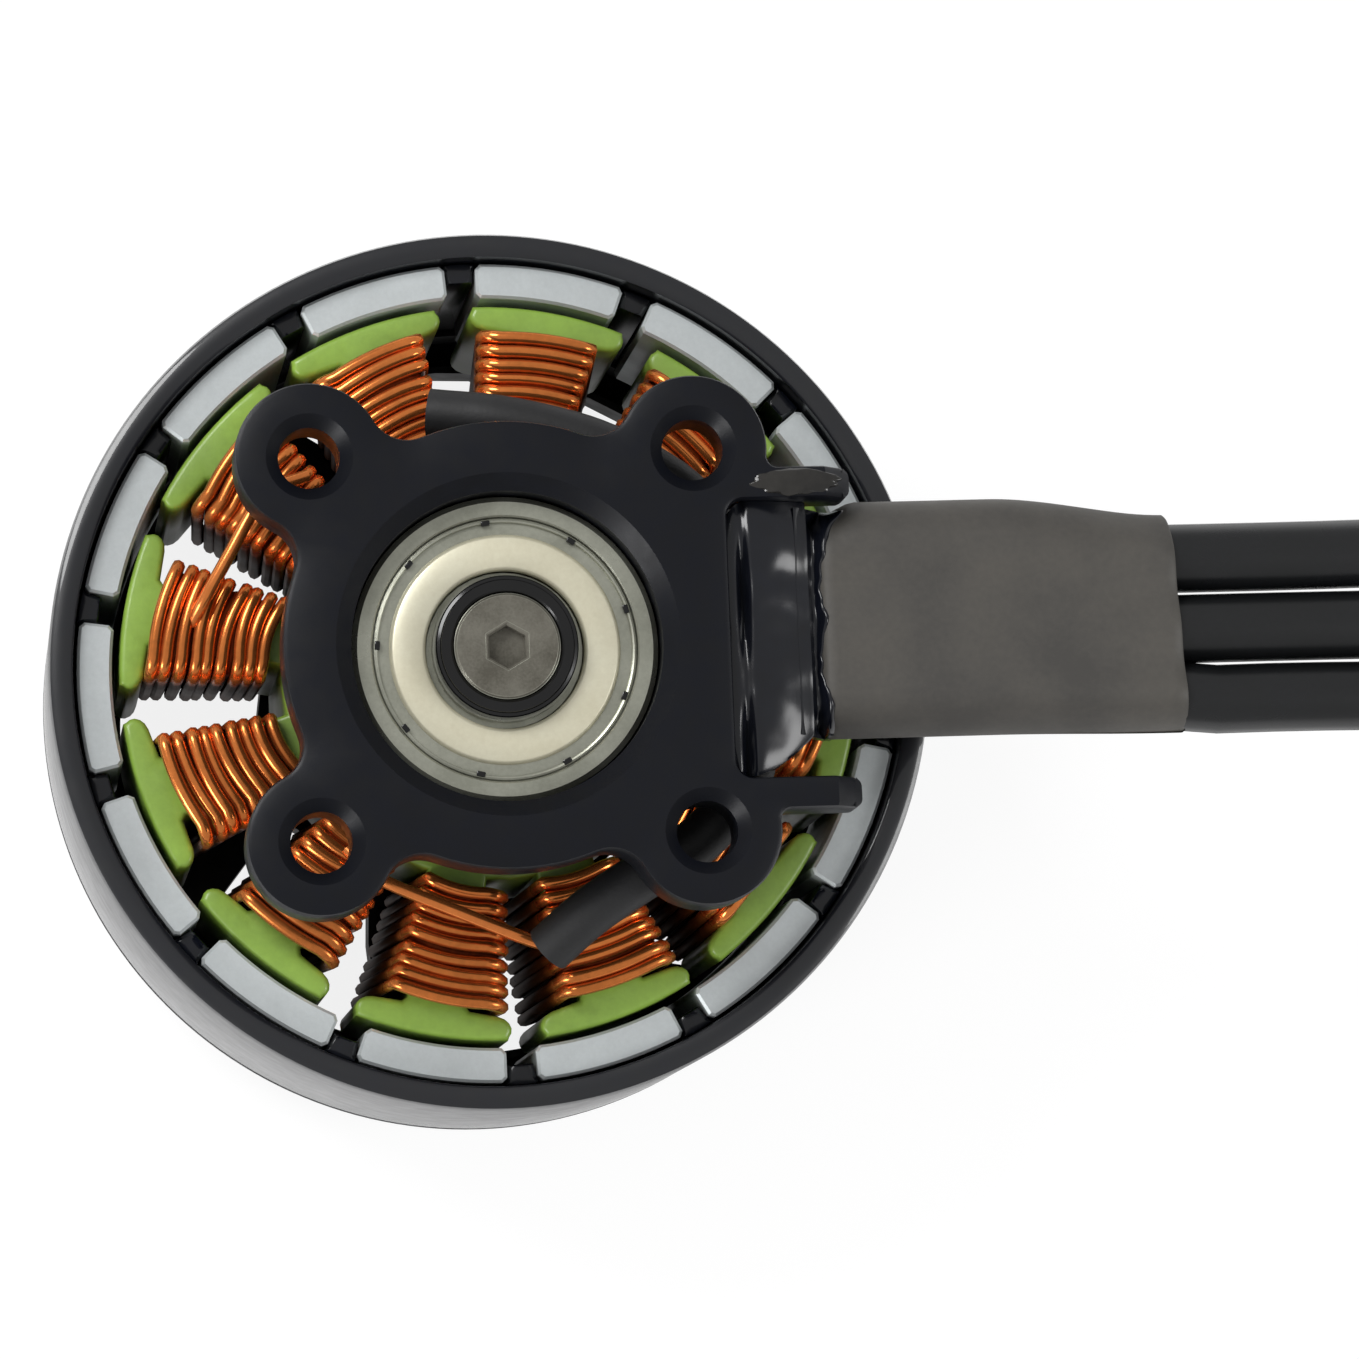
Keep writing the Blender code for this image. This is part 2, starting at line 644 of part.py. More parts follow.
def magnets(mats):
    """Fourteen arc magnets on the flux ring's inner wall, all of one mesh."""
    first = mesh_object("magnet_01", magnet_mesh(), mats["magnet_nickel"])
    made = [first]
    for i in range(1, POLES):
        obj = bpy.data.objects.new(f"magnet_{i + 1:02d}", first.data)
        bpy.context.scene.collection.objects.link(obj)
        made.append(obj)
    for i, obj in enumerate(made):
        obj.rotation_euler = (0, 0, MAGNET_PHASE + i * 2 * math.pi / POLES)
    return made


def window_mesh(low, high):
    """Cutter for one window of the bell's end between two swept spokes."""
    pitch = 2 * math.pi / WINDOWS

    def edge(radius, side):
        sweep = SPOKE_SWEEP * (radius - WINDOW_INNER_R) / (WINDOW_OUTER_R - WINDOW_INNER_R)
        return sweep + side * (pitch / 2 - SPOKE_WIDTH / 2 / radius)

    radii = [WINDOW_INNER_R + (WINDOW_OUTER_R - WINDOW_INNER_R) * i / 3 for i in range(4)]
    rising = [polar(r, edge(r, -1)) for r in radii]
    top = arc((0, 0), WINDOW_OUTER_R, edge(WINDOW_OUTER_R, -1), edge(WINDOW_OUTER_R, 1), 4)[1:-1]
    falling = [polar(r, edge(r, 1)) for r in reversed(radii)]
    foot = arc((0, 0), WINDOW_INNER_R, edge(WINDOW_INNER_R, 1), edge(WINDOW_INNER_R, -1), 2)[1:-1]
    bm = extrude_outline(rising + top + falling + foot, low, high)
    corners = [rising[0], rising[-1], falling[0], falling[-1]]
    upright = [
        e
        for e in bm.edges
        if abs(e.verts[0].co.z - e.verts[1].co.z) > (high - low) / 2
        and any((e.verts[0].co.xy - Vector(c)).length < 1e-6 for c in corners)
    ]
    rounding = dict(offset=WINDOW_CORNER, segments=2, profile=0.5, affect="EDGES", material=-1)
    bmesh.ops.bevel(bm, geom=upright, **rounding)
    return bm


def bell_cap(mats):
    """End of the bell: propeller hub, swept spokes with windows, and the rim that seats the flux ring."""
    mat = mats["black_anodised"]
    shoulder_top = RING_BOTTOM_Z - SEAT_GAP - CAP_FLANGE
    shoulder_r = BELL_R - CAP_SHOULDER
    spigot_r = RING_INNER_R - SEAT_GAP
    spigot_in = spigot_r - CAP_SPIGOT_WALL
    spigot_top = RING_BOTTOM_Z + CAP_SPIGOT_HEIGHT
    nose_top = BELL_BEARING_Z - SEAT_GAP
    shoulder = [
        (
            shoulder_r + CAP_SHOULDER * math.sin(math.pi / 2 * i / 5),
            CAP_RIM_INSET + (shoulder_top - CAP_RIM_INSET) * (1 - math.cos(math.pi / 2 * i / 5)),
        )
        for i in range(6)
    ]
    bore_r = SHAFT_R + PRESS_GAP
    profile = [
        (bore_r, 0),
        (HUB_R - CAP_RIM_INSET, 0),
        (HUB_R, CAP_RIM_INSET),
        *shoulder,
        (BELL_R, RING_BOTTOM_Z - SEAT_GAP),
        (spigot_r, RING_BOTTOM_Z - SEAT_GAP),
        (spigot_r, spigot_top),
        (spigot_in, spigot_top),
        (spigot_in, SPOKES_TOP_Z + CAP_SPIGOT_WALL),
        (spigot_in - CAP_SPIGOT_WALL, SPOKES_TOP_Z),
        (HUB_BOSS_R, SPOKES_TOP_Z),
        (HUB_BOSS_R, SPOKES_TOP_Z + HUB_BOSS_HEIGHT),
        (HUB_NOSE_R, SPOKES_TOP_Z + HUB_BOSS_HEIGHT),
        (HUB_NOSE_R, nose_top),
        (bore_r, nose_top),
    ]
    cap = mesh_object("bell_cap", turn(profile, ROUND_STEPS), mat)
    past = SEAT_GAP * 3
    low, high = -past, spigot_top + past
    first = window_mesh(CAP_RIM_INSET - past, SPOKES_TOP_Z + past)
    window = cutter("cut_window_1", first, mat)
    boolean(cap, window, "DIFFERENCE")
    for i in range(1, WINDOWS):
        more = bpy.data.objects.new(f"cut_window_{i + 1}", window.data)
        bpy.context.scene.collection.objects.link(more)
        more.rotation_euler = (0, 0, i * 2 * math.pi / WINDOWS)
        more.hide_render = True
        more.display_type = "WIRE"
        boolean(cap, more, "DIFFERENCE")
    for i in range(PROP_HOLES):
        place = polar(PROP_HOLE_RADIUS, math.pi / 4 + i * 2 * math.pi / PROP_HOLES)
        hole = turn([(0, low), (PROP_HOLE_R, low), (PROP_HOLE_R, high), (0, high)], 12, place)
        boolean(cap, cutter(f"cut_prop_hole_{i + 1}", hole, mat), "DIFFERENCE")
    return cap


def shaft(mats):
    """Hollow-ended steel shaft, flush with the bell's propeller face."""
    profile = [
        (0, 0),
        (SHAFT_R, 0),
        (SHAFT_R, SHAFT_TOP_Z - SHAFT_CHAMFER),
        (SHAFT_R - SHAFT_CHAMFER, SHAFT_TOP_Z),
        (SCREW_HOLE_R, SHAFT_TOP_Z),
        (SCREW_HOLE_R, SHAFT_TOP_Z - SCREW_HOLE_DEPTH),
        (0, SHAFT_TOP_Z - SCREW_HOLE_DEPTH - SCREW_HOLE_R / 2),
    ]
    return mesh_object("shaft", turn(profile, BEARING_STEPS), mats["shaft_steel"])


def shaft_screw(mats):
    """Countersunk screw with a hexagon socket, in the end of the shaft."""
    cone_bottom = SCREW_TOP_Z - SCREW_HEAD_EDGE - (SCREW_HEAD_R - SCREW_R)
    profile = [
        (0, SCREW_TOP_Z - SCREW_LENGTH),
        (SCREW_R, SCREW_TOP_Z - SCREW_LENGTH),
        (SCREW_R, cone_bottom),
        (SCREW_HEAD_R, SCREW_TOP_Z - SCREW_HEAD_EDGE),
        (SCREW_HEAD_R, SCREW_TOP_Z),
        (0, SCREW_TOP_Z),
    ]
    screw = mesh_object("shaft_screw", turn(profile, BEARING_STEPS), mats["screw_steel"])
    corner_r = SOCKET_FLATS / math.sqrt(3)
    hexagon = [polar(corner_r, math.pi / 6 + i * math.pi / 3) for i in range(6)]
    socket = extrude_outline(hexagon, SCREW_TOP_Z - SOCKET_DEPTH, SCREW_TOP_Z + SEAT_GAP)
    boolean(screw, cutter("cut_socket", socket, mats["screw_steel"]), "DIFFERENCE")
    return screw


def shaft_washer(mats):
    """Black cup washer that clamps the base bearing's inner ring under the screw's head."""
    edge_r = SCREW_HEAD_R + PRESS_GAP
    bottom_r = edge_r - (SCREW_TOP_Z - SCREW_HEAD_EDGE - WASHER_BOTTOM_Z)
    profile = [
        (bottom_r, WASHER_BOTTOM_Z),
        (WASHER_R, WASHER_BOTTOM_Z),
        (WASHER_R, WASHER_TOP_Z - WASHER_CHAMFER),
        (WASHER_R - WASHER_CHAMFER, WASHER_TOP_Z),
        (edge_r + PRESS_GAP, WASHER_TOP_Z),
        (edge_r, SCREW_TOP_Z - SCREW_HEAD_EDGE),
    ]
    return mesh_object("shaft_washer", turn(profile, BEARING_STEPS), mats["washer_black"])


def bearing(prefix, low_z, steps, mats):
    """One shielded ball bearing: its outer and inner rings and its two shields."""
    width = BEARING_WIDTH
    outer = [
        (BEARING_R - BEARING_EDGE, 0),
        (BEARING_R, BEARING_EDGE),
        (BEARING_R, width - BEARING_EDGE),
        (BEARING_R - BEARING_EDGE, width),
        (SHIELD_SEAT_R, width),
        (SHIELD_SEAT_R, width - SHIELD_SEAT_DEPTH),
        (OUTER_LAND_R, width - SHIELD_SEAT_DEPTH),
        (OUTER_LAND_R, SHIELD_SEAT_DEPTH),
        (SHIELD_SEAT_R, SHIELD_SEAT_DEPTH),
        (SHIELD_SEAT_R, 0),
    ]
    bore_r = SHAFT_R + PRESS_GAP
    inner = [
        (bore_r, 0),
        (INNER_RING_R, 0),
        (INNER_RING_R, SHIELD_SEAT_DEPTH),
        (INNER_LAND_R, SHIELD_SEAT_DEPTH),
        (INNER_LAND_R, width - SHIELD_SEAT_DEPTH),
        (INNER_RING_R, width - SHIELD_SEAT_DEPTH),
        (INNER_RING_R, width),
        (bore_r, width),
    ]
    for name, profile in (("outer_ring", outer), ("inner_ring", inner)):
        placed = [(r, low_z + z) for r, z in profile]
        mesh_object(f"{prefix}_{name}", turn(placed, steps), mats["bearing_steel"])
    rim_r = SHIELD_SEAT_R - PRESS_GAP
    raised = SHIELD_DEPTH
    lowered = SHIELD_DEPTH + SHIELD_STEP
    shield = [
        (SHIELD_BORE_R, raised),
        (SHIELD_STEP_R - SHIELD_STEP, raised),
        (SHIELD_STEP_R, lowered),
        (rim_r, lowered),
        (rim_r, lowered + SHIELD_THICKNESS),
        (SHIELD_BORE_R, lowered + SHIELD_THICKNESS),
    ]
    top = [(r, low_z + width - depth) for r, depth in shield]
    bottom = [(r, low_z + depth) for r, depth in shield]
    mesh_object(f"{prefix}_shield_top", turn(top, steps), mats["shield_steel"])
    mesh_object(f"{prefix}_shield_bottom", turn(bottom, SMALL_STEPS), mats["shield_steel"])


def smooth_route(points, step):
    """Points about step apart on a smooth curve through a route's own points."""
    route = [Vector(p) for p in points]
    ends = [2 * route[0] - route[1]] + route + [2 * route[-1] - route[-2]]
    fine = []
    for a, b, c, d in zip(ends, ends[1:], ends[2:], ends[3:]):
        for i in range(16):
            t = i / 16
            fine.append(
                0.5
                * (
                    2 * b
                    + (c - a) * t
                    + (2 * a - 5 * b + 4 * c - d) * t * t
                    + (3 * b - a - 3 * c + d) * t * t * t
                )
            )
    fine.append(route[-1])
    along = [0.0]
    for a, b in zip(fine, fine[1:]):
        along.append(along[-1] + (b - a).length)
    count = max(2, round(along[-1] / step))
    even = []
    j = 0
    for i in range(count + 1):
        target = along[-1] * i / count
        while j < len(along) - 2 and along[j + 1] < target:
            j += 1
        share = (target - along[j]) / (along[j + 1] - along[j])
        even.append(fine[j].lerp(fine[j + 1], share))
    return even


def tube_along(name, points, radius, resolution, mat):
    """A round tube along a poly curve, with closed ends."""
    curve = bpy.data.curves.new(name, "CURVE")
    curve.dimensions = "3D"
    curve.bevel_depth = radius
    curve.bevel_resolution = resolution
    curve.use_fill_caps = True
    spline = curve.splines.new("POLY")
    spline.points.add(len(points) - 1)
    for point, place in zip(spline.points, points):
        point.co = (*place, 1.0)
    curve.materials.append(mat)
    obj = bpy.data.objects.new(name, curve)
    bpy.context.scene.collection.objects.link(obj)
    return obj


def lead_points(name, number):
    """The lead's centre line; leads lie side by side at the heat-shrink and spread on the surface."""
    start_y = LEAD_Y + (1 - number) * LEAD_PITCH
    route = [(x, start_y + stray, z) for (x, z), stray in zip(LEAD_ROUTE_XZ, LEAD_STRAY[name])]
    return smooth_route(route, LEAD_STEP)


def leads(mats):
    """Three silicone leads from the heat-shrink to their tinned ends."""
    for number, name in enumerate(LEAD_STRAY):
        points = lead_points(name, number)
        tube_along(name, points, LEAD_R, 2, mats["lead_silicone"])
        way = (points[-1] - points[-2]).normalized()
        start = points[-1] + way * SEAT_GAP
        edge = TIP_R / 3
        shoulder = TIP_LENGTH - edge
        profile = [(0, 0), (TIP_R, 0), (TIP_R, shoulder), (TIP_R - edge, TIP_LENGTH), (0, TIP_LENGTH)]
        tip = turn(profile, 12)
        turned = way.to_track_quat("Z", "Y").to_matrix().to_4x4()
        bmesh.ops.transform(tip, matrix=Matrix.Translation(start) @ turned, verts=tip.verts)
        mesh_object(f"{name}_tip", tip, mats["tinned_wire"])


def flat_oval(x, middle_y, half_width, half_height, slant=0.0):
    """A stadium-shaped section across the three leads; a slant sets its +Y side back along X."""
    points = []
    for side in (1, -1):
        for i in range(9):
            angle = -side * math.pi / 2 + side * math.pi * i / 8
            y = side * (half_width - half_height) + side * half_height * math.cos(angle)
            back = slant * y / half_width
            points.append((x - back, middle_y + y, LEAD_Z + half_height * math.sin(angle)))
    return points


def lead_shrink(mats):
    """Heat-shrink sleeve over the three leads, bowed sideways where it leaves the guide arms."""
    tall = SHRINK_HALF_HEIGHT
    wide = SHRINK_HALF_WIDTH
    bowed = LEAD_Y + SHRINK_BOW
    top_side = min(bowed + wide, NOTCH_WIDTH / 2 - SEAT_GAP - SHRINK_GRIP / 3)
    low_side = bowed - wide
    between = (top_side + low_side) / 2
    fits = (top_side - low_side) / 2
    end_y = LEAD_Y + SHRINK_BOW / 3
    end_tall = tall - SHRINK_GRIP / 2
    sections = [
        flat_oval(SHRINK_START_X, between, fits - SHRINK_TAPER, tall - SHRINK_TAPER),
        flat_oval(SHRINK_START_X + SHRINK_TAPER, between, fits, tall),
        flat_oval(ARM_END_X + 2 * SEAT_GAP, bowed, wide, tall),
        flat_oval((SHRINK_START_X + SHRINK_END_X) / 2, bowed, wide, tall),
        flat_oval(SHRINK_END_X, end_y, wide - SHRINK_GRIP, end_tall, SHRINK_SLANT),
    ]
    return mesh_object("lead_shrink", loft(sections), mats["shrink_black"])


def potting(mats):
    """Black potting that fills the notch between the plate and the heat-shrink."""
    low = PLATE_BOTTOM_Z - SEAT_GAP / 2
    top = BASE_FACE_Z - GLUE_TOP_SINK
    start = NOTCH_WALL_X + SEAT_GAP
    end = SHRINK_START_X - SEAT_GAP
    half = NOTCH_WIDTH / 2 - SEAT_GAP
    corner = NOTCH_CORNER
    stations = 6
    sections = []
    for i in range(stations + 1):
        share = i / stations
        x = start + (end - start) * share
        narrow = corner * (1 - min(1.0, share * 2)) ** 2
        fall = GLUE_CROWN * share * share
        wide = half - narrow
        low_side = GLUE_OPENING * share * share - wide
        sections.append(
            [
                (x, low_side, low),
                (x, wide, low),
                (x, wide, top - fall - GLUE_CROWN / 3),
                (x, wide * 0.6, top - fall),
                (x, low_side * 0.6, top - fall),
                (x, low_side, top - fall - GLUE_CROWN / 3),
            ]
        )
    return mesh_object("potting", loft(sections), mats["potting_black"])


def sleeves(mats):
    """Insulating sleeves on the winding tails, between the coils and the potting."""
    for name, route in SLEEVE_ROUTES.items():
        tube_along(name, smooth_route(route, SLEEVE_STEP), SLEEVE_R, 2, mats["sleeve_black"])


def main():
    clear_scene()
    mats = make_materials()
    motor_base(mats)
    stator_core(mats)
    coils(mats)
    flux_ring(mats)
    magnets(mats)
    bell_cap(mats)
    shaft(mats)
    shaft_screw(mats)
    shaft_washer(mats)
    bearing("base_bearing", BASE_BEARING_Z, BEARING_STEPS, mats)
    bearing("bell_bearing", BELL_BEARING_Z, SMALL_STEPS, mats)
    sleeves(mats)
    potting(mats)
    lead_shrink(mats)
    leads(mats)


main()
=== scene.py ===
"""Looks of a brushless outrunner motor that stands on its bell, with the mounting face up."""

import math
import random

import bmesh
import bpy
from bpy.props import FloatProperty, FloatVectorProperty, IntProperty, PointerProperty
from mathutils import Matrix, Vector, noise


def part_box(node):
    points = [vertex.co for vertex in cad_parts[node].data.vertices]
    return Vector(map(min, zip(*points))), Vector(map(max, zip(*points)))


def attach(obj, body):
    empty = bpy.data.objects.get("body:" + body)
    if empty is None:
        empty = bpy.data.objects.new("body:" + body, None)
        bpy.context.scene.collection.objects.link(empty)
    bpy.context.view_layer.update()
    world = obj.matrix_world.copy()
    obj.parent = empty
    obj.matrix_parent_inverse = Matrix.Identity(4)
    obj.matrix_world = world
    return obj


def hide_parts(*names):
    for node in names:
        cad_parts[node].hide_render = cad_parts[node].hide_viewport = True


bl_info = {
    "name": "Outrunner motor",
    "version": (1, 0, 0),
    "blender": (4, 5, 0),
    "location": "View3D > Sidebar > Motor",
    "description": "Dresses the packed solids of a brushless outrunner motor",
    "category": "Object",
}

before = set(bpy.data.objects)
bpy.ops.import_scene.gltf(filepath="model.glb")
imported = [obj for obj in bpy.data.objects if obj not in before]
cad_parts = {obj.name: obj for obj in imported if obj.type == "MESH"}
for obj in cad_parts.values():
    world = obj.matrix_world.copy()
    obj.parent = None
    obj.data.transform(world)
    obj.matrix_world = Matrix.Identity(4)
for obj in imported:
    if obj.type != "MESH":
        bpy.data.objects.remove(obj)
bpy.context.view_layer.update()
MM = 0.001


def top_of(node):
    """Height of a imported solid's top."""
    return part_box(node)[1][2]


def foot_of(node):
    """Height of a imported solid's foot."""
    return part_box(node)[0][2]


def reach_of(node):
    """How far a round solid on the shaft's axis reaches from it."""
    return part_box(node)[1][0]


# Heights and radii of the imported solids
STACK_LOW = foot_of("stator_core")
STACK_TOP = top_of("stator_core")
STATOR_R = reach_of("stator_core")
RIM_TOP = top_of("flux_ring")
BELL_R = reach_of("flux_ring")
BASE_FACE = top_of("motor_base")
BEARING_FACE = top_of("base_bearing_outer_ring")

# The base, as in the part
PLATE_UNDERSIDE = BASE_FACE - 4.0 * MM
SEAT_R = reach_of("base_bearing_outer_ring") + 0.1 * MM
SEAT_STEP = 1.2 * MM
LOWER_SEAT_DEPTH = 6.4 * MM
UPPER_SEAT_DEPTH = 8.6 * MM
TUBE_R = SEAT_R + 1.0 * MM
WAIST_R = 12.4 * MM
EAR_R = 4.1 * MM
EAR_AT = 15.0 * MM
EAR_FILLET = 2.1 * MM
HOLE_R = 1.7 * MM
HOLE_COUNTERSINK = 0.7 * MM
MOUTH_CHAMFER = 0.9 * MM
PLATE_EDGE = 0.28 * MM
NOTCH_HALF = 7.75 * MM
NOTCH_X = 12.3 * MM
NOTCH_ROUND = 1.0 * MM
ARM_WIDTH = 1.75 * MM
ARM_END = 19.4 * MM
ARM_ROUND = 0.6 * MM
ARM_SLOPE = 1.5 * MM

# Numbers and first angles of what repeats round the shaft
TEETH = 12
POLES = 14
TOOTH_PHASE = math.radians(18.7)
MAGNET_PHASE = math.radians(2.4)


def srgb(code):
    """A hex colour as the linear red, green and blue that shaders use."""
    values = [int(code[i : i + 2], 16) / 255 for i in (1, 3, 5)]
    return tuple(v / 12.92 if v <= 0.04045 else ((v + 0.055) / 1.055) ** 2.4 for v in values)


class MotorSizes(bpy.types.PropertyGroup):
    """Sizes that change the look of the motor"""

    wire: FloatProperty(
        name="Wire", description="Diameter of the enamelled wire", default=0.76 * MM, unit="LENGTH"
    )
    turns: IntProperty(
        name="Turns", description="Turns of wire side by side on a tooth", default=9, min=3, max=14
    )
    magnet_gap: FloatProperty(
        name="Magnet gap",
        description="Angle between neighbouring magnets",
        default=math.radians(4.4),
        subtype="ANGLE",
    )
    lead: FloatProperty(name="Lead", description="Diameter of a lead", default=3.9 * MM, unit="LENGTH")
    lens: FloatProperty(name="Lens", description="Focal length of the camera in millimetres", default=168.02)


class MotorColours(bpy.types.PropertyGroup):
    """Colours of the motor's main finishes"""

    anodised: FloatVectorProperty(
        name="Anodised",
        description="Black anodised aluminium",
        size=3,
        subtype="COLOR",
        default=srgb("#0D0F16"),
    )
    copper: FloatVectorProperty(
        name="Copper", description="Enamelled copper wire", size=3, subtype="COLOR", default=srgb("#F8924C")
    )
    epoxy: FloatVectorProperty(
        name="Epoxy", description="Green coat of the stator", size=3, subtype="COLOR", default=srgb("#8FB348")
    )
    magnet: FloatVectorProperty(
        name="Magnet",
        description="Nickel plate of the magnets",
        size=3,
        subtype="COLOR",
        default=srgb("#CDD3D4"),
    )


def add_node(tree, kind, settings):
    """Adds one node; each setting is a value, a node or a socket for one of its inputs or properties."""
    node = tree.nodes.new("ShaderNode" + kind)
    for key, value in settings.items():
        if isinstance(value, bpy.types.Node):
            value = value.outputs[0]
        if isinstance(value, bpy.types.NodeSocket):
            tree.links.new(value, node.inputs[key])
        elif isinstance(key, int) or key in node.inputs:
            node.inputs[key].default_value = value
        else:
            setattr(node, key, value)
    return node


def finish_material(
    name, pale, deep, rough, grain_mm, bump_mm, metallic=0.0, coat=0.0, coat_rough=0.1, specular=0.5
):
    """A material with a grain of a real size that shifts its colour, roughness and surface."""
    mat = bpy.data.materials.new(name)
    mat.use_nodes = True
    tree = mat.node_tree
    shader = tree.nodes["Principled BSDF"]
    shader.inputs["Metallic"].default_value = metallic
    shader.inputs["Coat Weight"].default_value = coat
    shader.inputs["Coat Roughness"].default_value = coat_rough
    shader.inputs["Specular IOR Level"].default_value = specular
    place = add_node(tree, "TexCoord", {}).outputs["Object"]
    fine = {"Scale": 1 / (grain_mm * MM), "Detail": 5.0, "Roughness": 0.6}
    grain = add_node(tree, "TexNoise", {**fine, "Vector": place})
    clouds = add_node(tree, "TexNoise", {"Scale": 1 / (grain_mm * 14 * MM), "Detail": 2.0, "Vector": place})
    share = add_node(tree, "Math", {"operation": "MULTIPLY_ADD", 0: grain, 1: 0.45, 2: clouds})
    spread = add_node(tree, "MapRange", {"From Min": 0.5, "From Max": 0.95, "Value": share})
    colour = add_node(tree, "Mix", {"data_type": "RGBA", 0: spread, 6: (*pale, 1), 7: (*deep, 1)})
    gloss = {"From Min": 0.3, "From Max": 0.7, "To Min": rough[0], "To Max": rough[1]}
    polish = add_node(tree, "MapRange", {**gloss, "Value": clouds})
    bump = add_node(tree, "Bump", {"Strength": 1.0, "Distance": bump_mm * MM, "Height": grain})
    tree.links.new(colour.outputs[2], shader.inputs["Base Color"])
    tree.links.new(polish.outputs[0], shader.inputs["Roughness"])
    tree.links.new(bump.outputs["Normal"], shader.inputs["Normal"])
    return mat


def darker(colour, share):
    """A share of a colour's light."""
    return tuple(c * share for c in colour)


# Black varnish and painted shade on the coils' sides start this far from a tooth's middle line, blotted over
# a strip, and thin inwards
VARNISH_SHADE_FROM = 3.20 * MM
VARNISH_SHADE_FULL = 3.65 * MM
VARNISH_SHADE_BLOT = 0.9 * MM
VARNISH_SHADE_LEAN = 0.14
COIL_INNER = 12.2 * MM


def varnish_and_shade_sides(mat):
    """Black varnish and painted shade on the sides of each coil, by the distance from its tooth's middle
    line, and painted shade that darkens the wire below the stack's top.
    """
    tree = mat.node_tree
    shader = tree.nodes["Principled BSDF"]
    place = add_node(tree, "TexCoord", {}).outputs["Object"]
    parts = add_node(tree, "SeparateXYZ", {0: place}).outputs
    angle = add_node(tree, "Math", {"operation": "ARCTAN2", 0: parts["Y"], 1: parts["X"]})
    pitch = 2 * math.pi / TEETH
    from_tooth = add_node(tree, "Math", {"operation": "SUBTRACT", 0: angle, 1: TOOTH_PHASE})
    wrapped = add_node(tree, "Math", {"operation": "WRAP", 0: from_tooth, 1: pitch / 2, 2: -pitch / 2})
    away = add_node(tree, "Math", {"operation": "ABSOLUTE", 0: wrapped})
    flat = add_node(tree, "CombineXYZ", {0: parts["X"], 1: parts["Y"]})
    radius = add_node(tree, "VectorMath", {"operation": "LENGTH", 0: flat}).outputs["Value"]
    side = add_node(tree, "Math", {"operation": "MULTIPLY", 0: away, 1: radius})
    lean = {"operation": "MULTIPLY_ADD", 1: -VARNISH_SHADE_LEAN, 2: VARNISH_SHADE_LEAN * COIL_INNER}
    widening = add_node(tree, "Math", {**lean, 0: radius})
    from_edge = add_node(tree, "Math", {"operation": "ADD", 0: side, 1: widening})
    blots = add_node(tree, "TexNoise", {"Scale": 1 / VARNISH_SHADE_BLOT, "Detail": 2.0, "Vector": place})
    reach = add_node(tree, "Math", {"operation": "MULTIPLY_ADD", 0: blots, 1: VARNISH_SHADE_BLOT, 2: from_edge})
    varnish_and_shade = add_node(tree, "MapRange", {"From Min": VARNISH_SHADE_FROM, "From Max": VARNISH_SHADE_FULL, "Value": reach})
    # Painted shade: the wire grows darker from half a millimetre below the stack's top, three quarters black
    # at 3.5 mm below it
    painted_shade_depths = {"From Min": STACK_TOP - 0.5 * MM, "From Max": STACK_TOP - 3.5 * MM, "To Max": 0.75}
    deep = add_node(tree, "MapRange", {**painted_shade_depths, "Value": parts["Z"]})
    both = add_node(tree, "Math", {"operation": "MAXIMUM", 0: varnish_and_shade, 1: deep})
    wire = shader.inputs["Base Color"].links[0].from_socket
    colour = add_node(tree, "Mix", {"data_type": "RGBA", 0: both, 6: wire, 7: (*srgb("#0A0807"), 1)})
    tree.links.new(colour.outputs[2], shader.inputs["Base Color"])
    metal = shader.inputs["Metallic"].default_value
    bare = add_node(tree, "MapRange", {"To Min": metal, "To Max": 0.0, "Value": both})
    tree.links.new(bare.outputs[0], shader.inputs["Metallic"])
    polish = shader.inputs["Roughness"].links[0].from_socket
    dull = add_node(tree, "Math", {"operation": "MULTIPLY_ADD", 0: both, 1: 0.3, 2: polish})
    tree.links.new(dull.outputs[0], shader.inputs["Roughness"])
    return mat


MATERIALS = {}


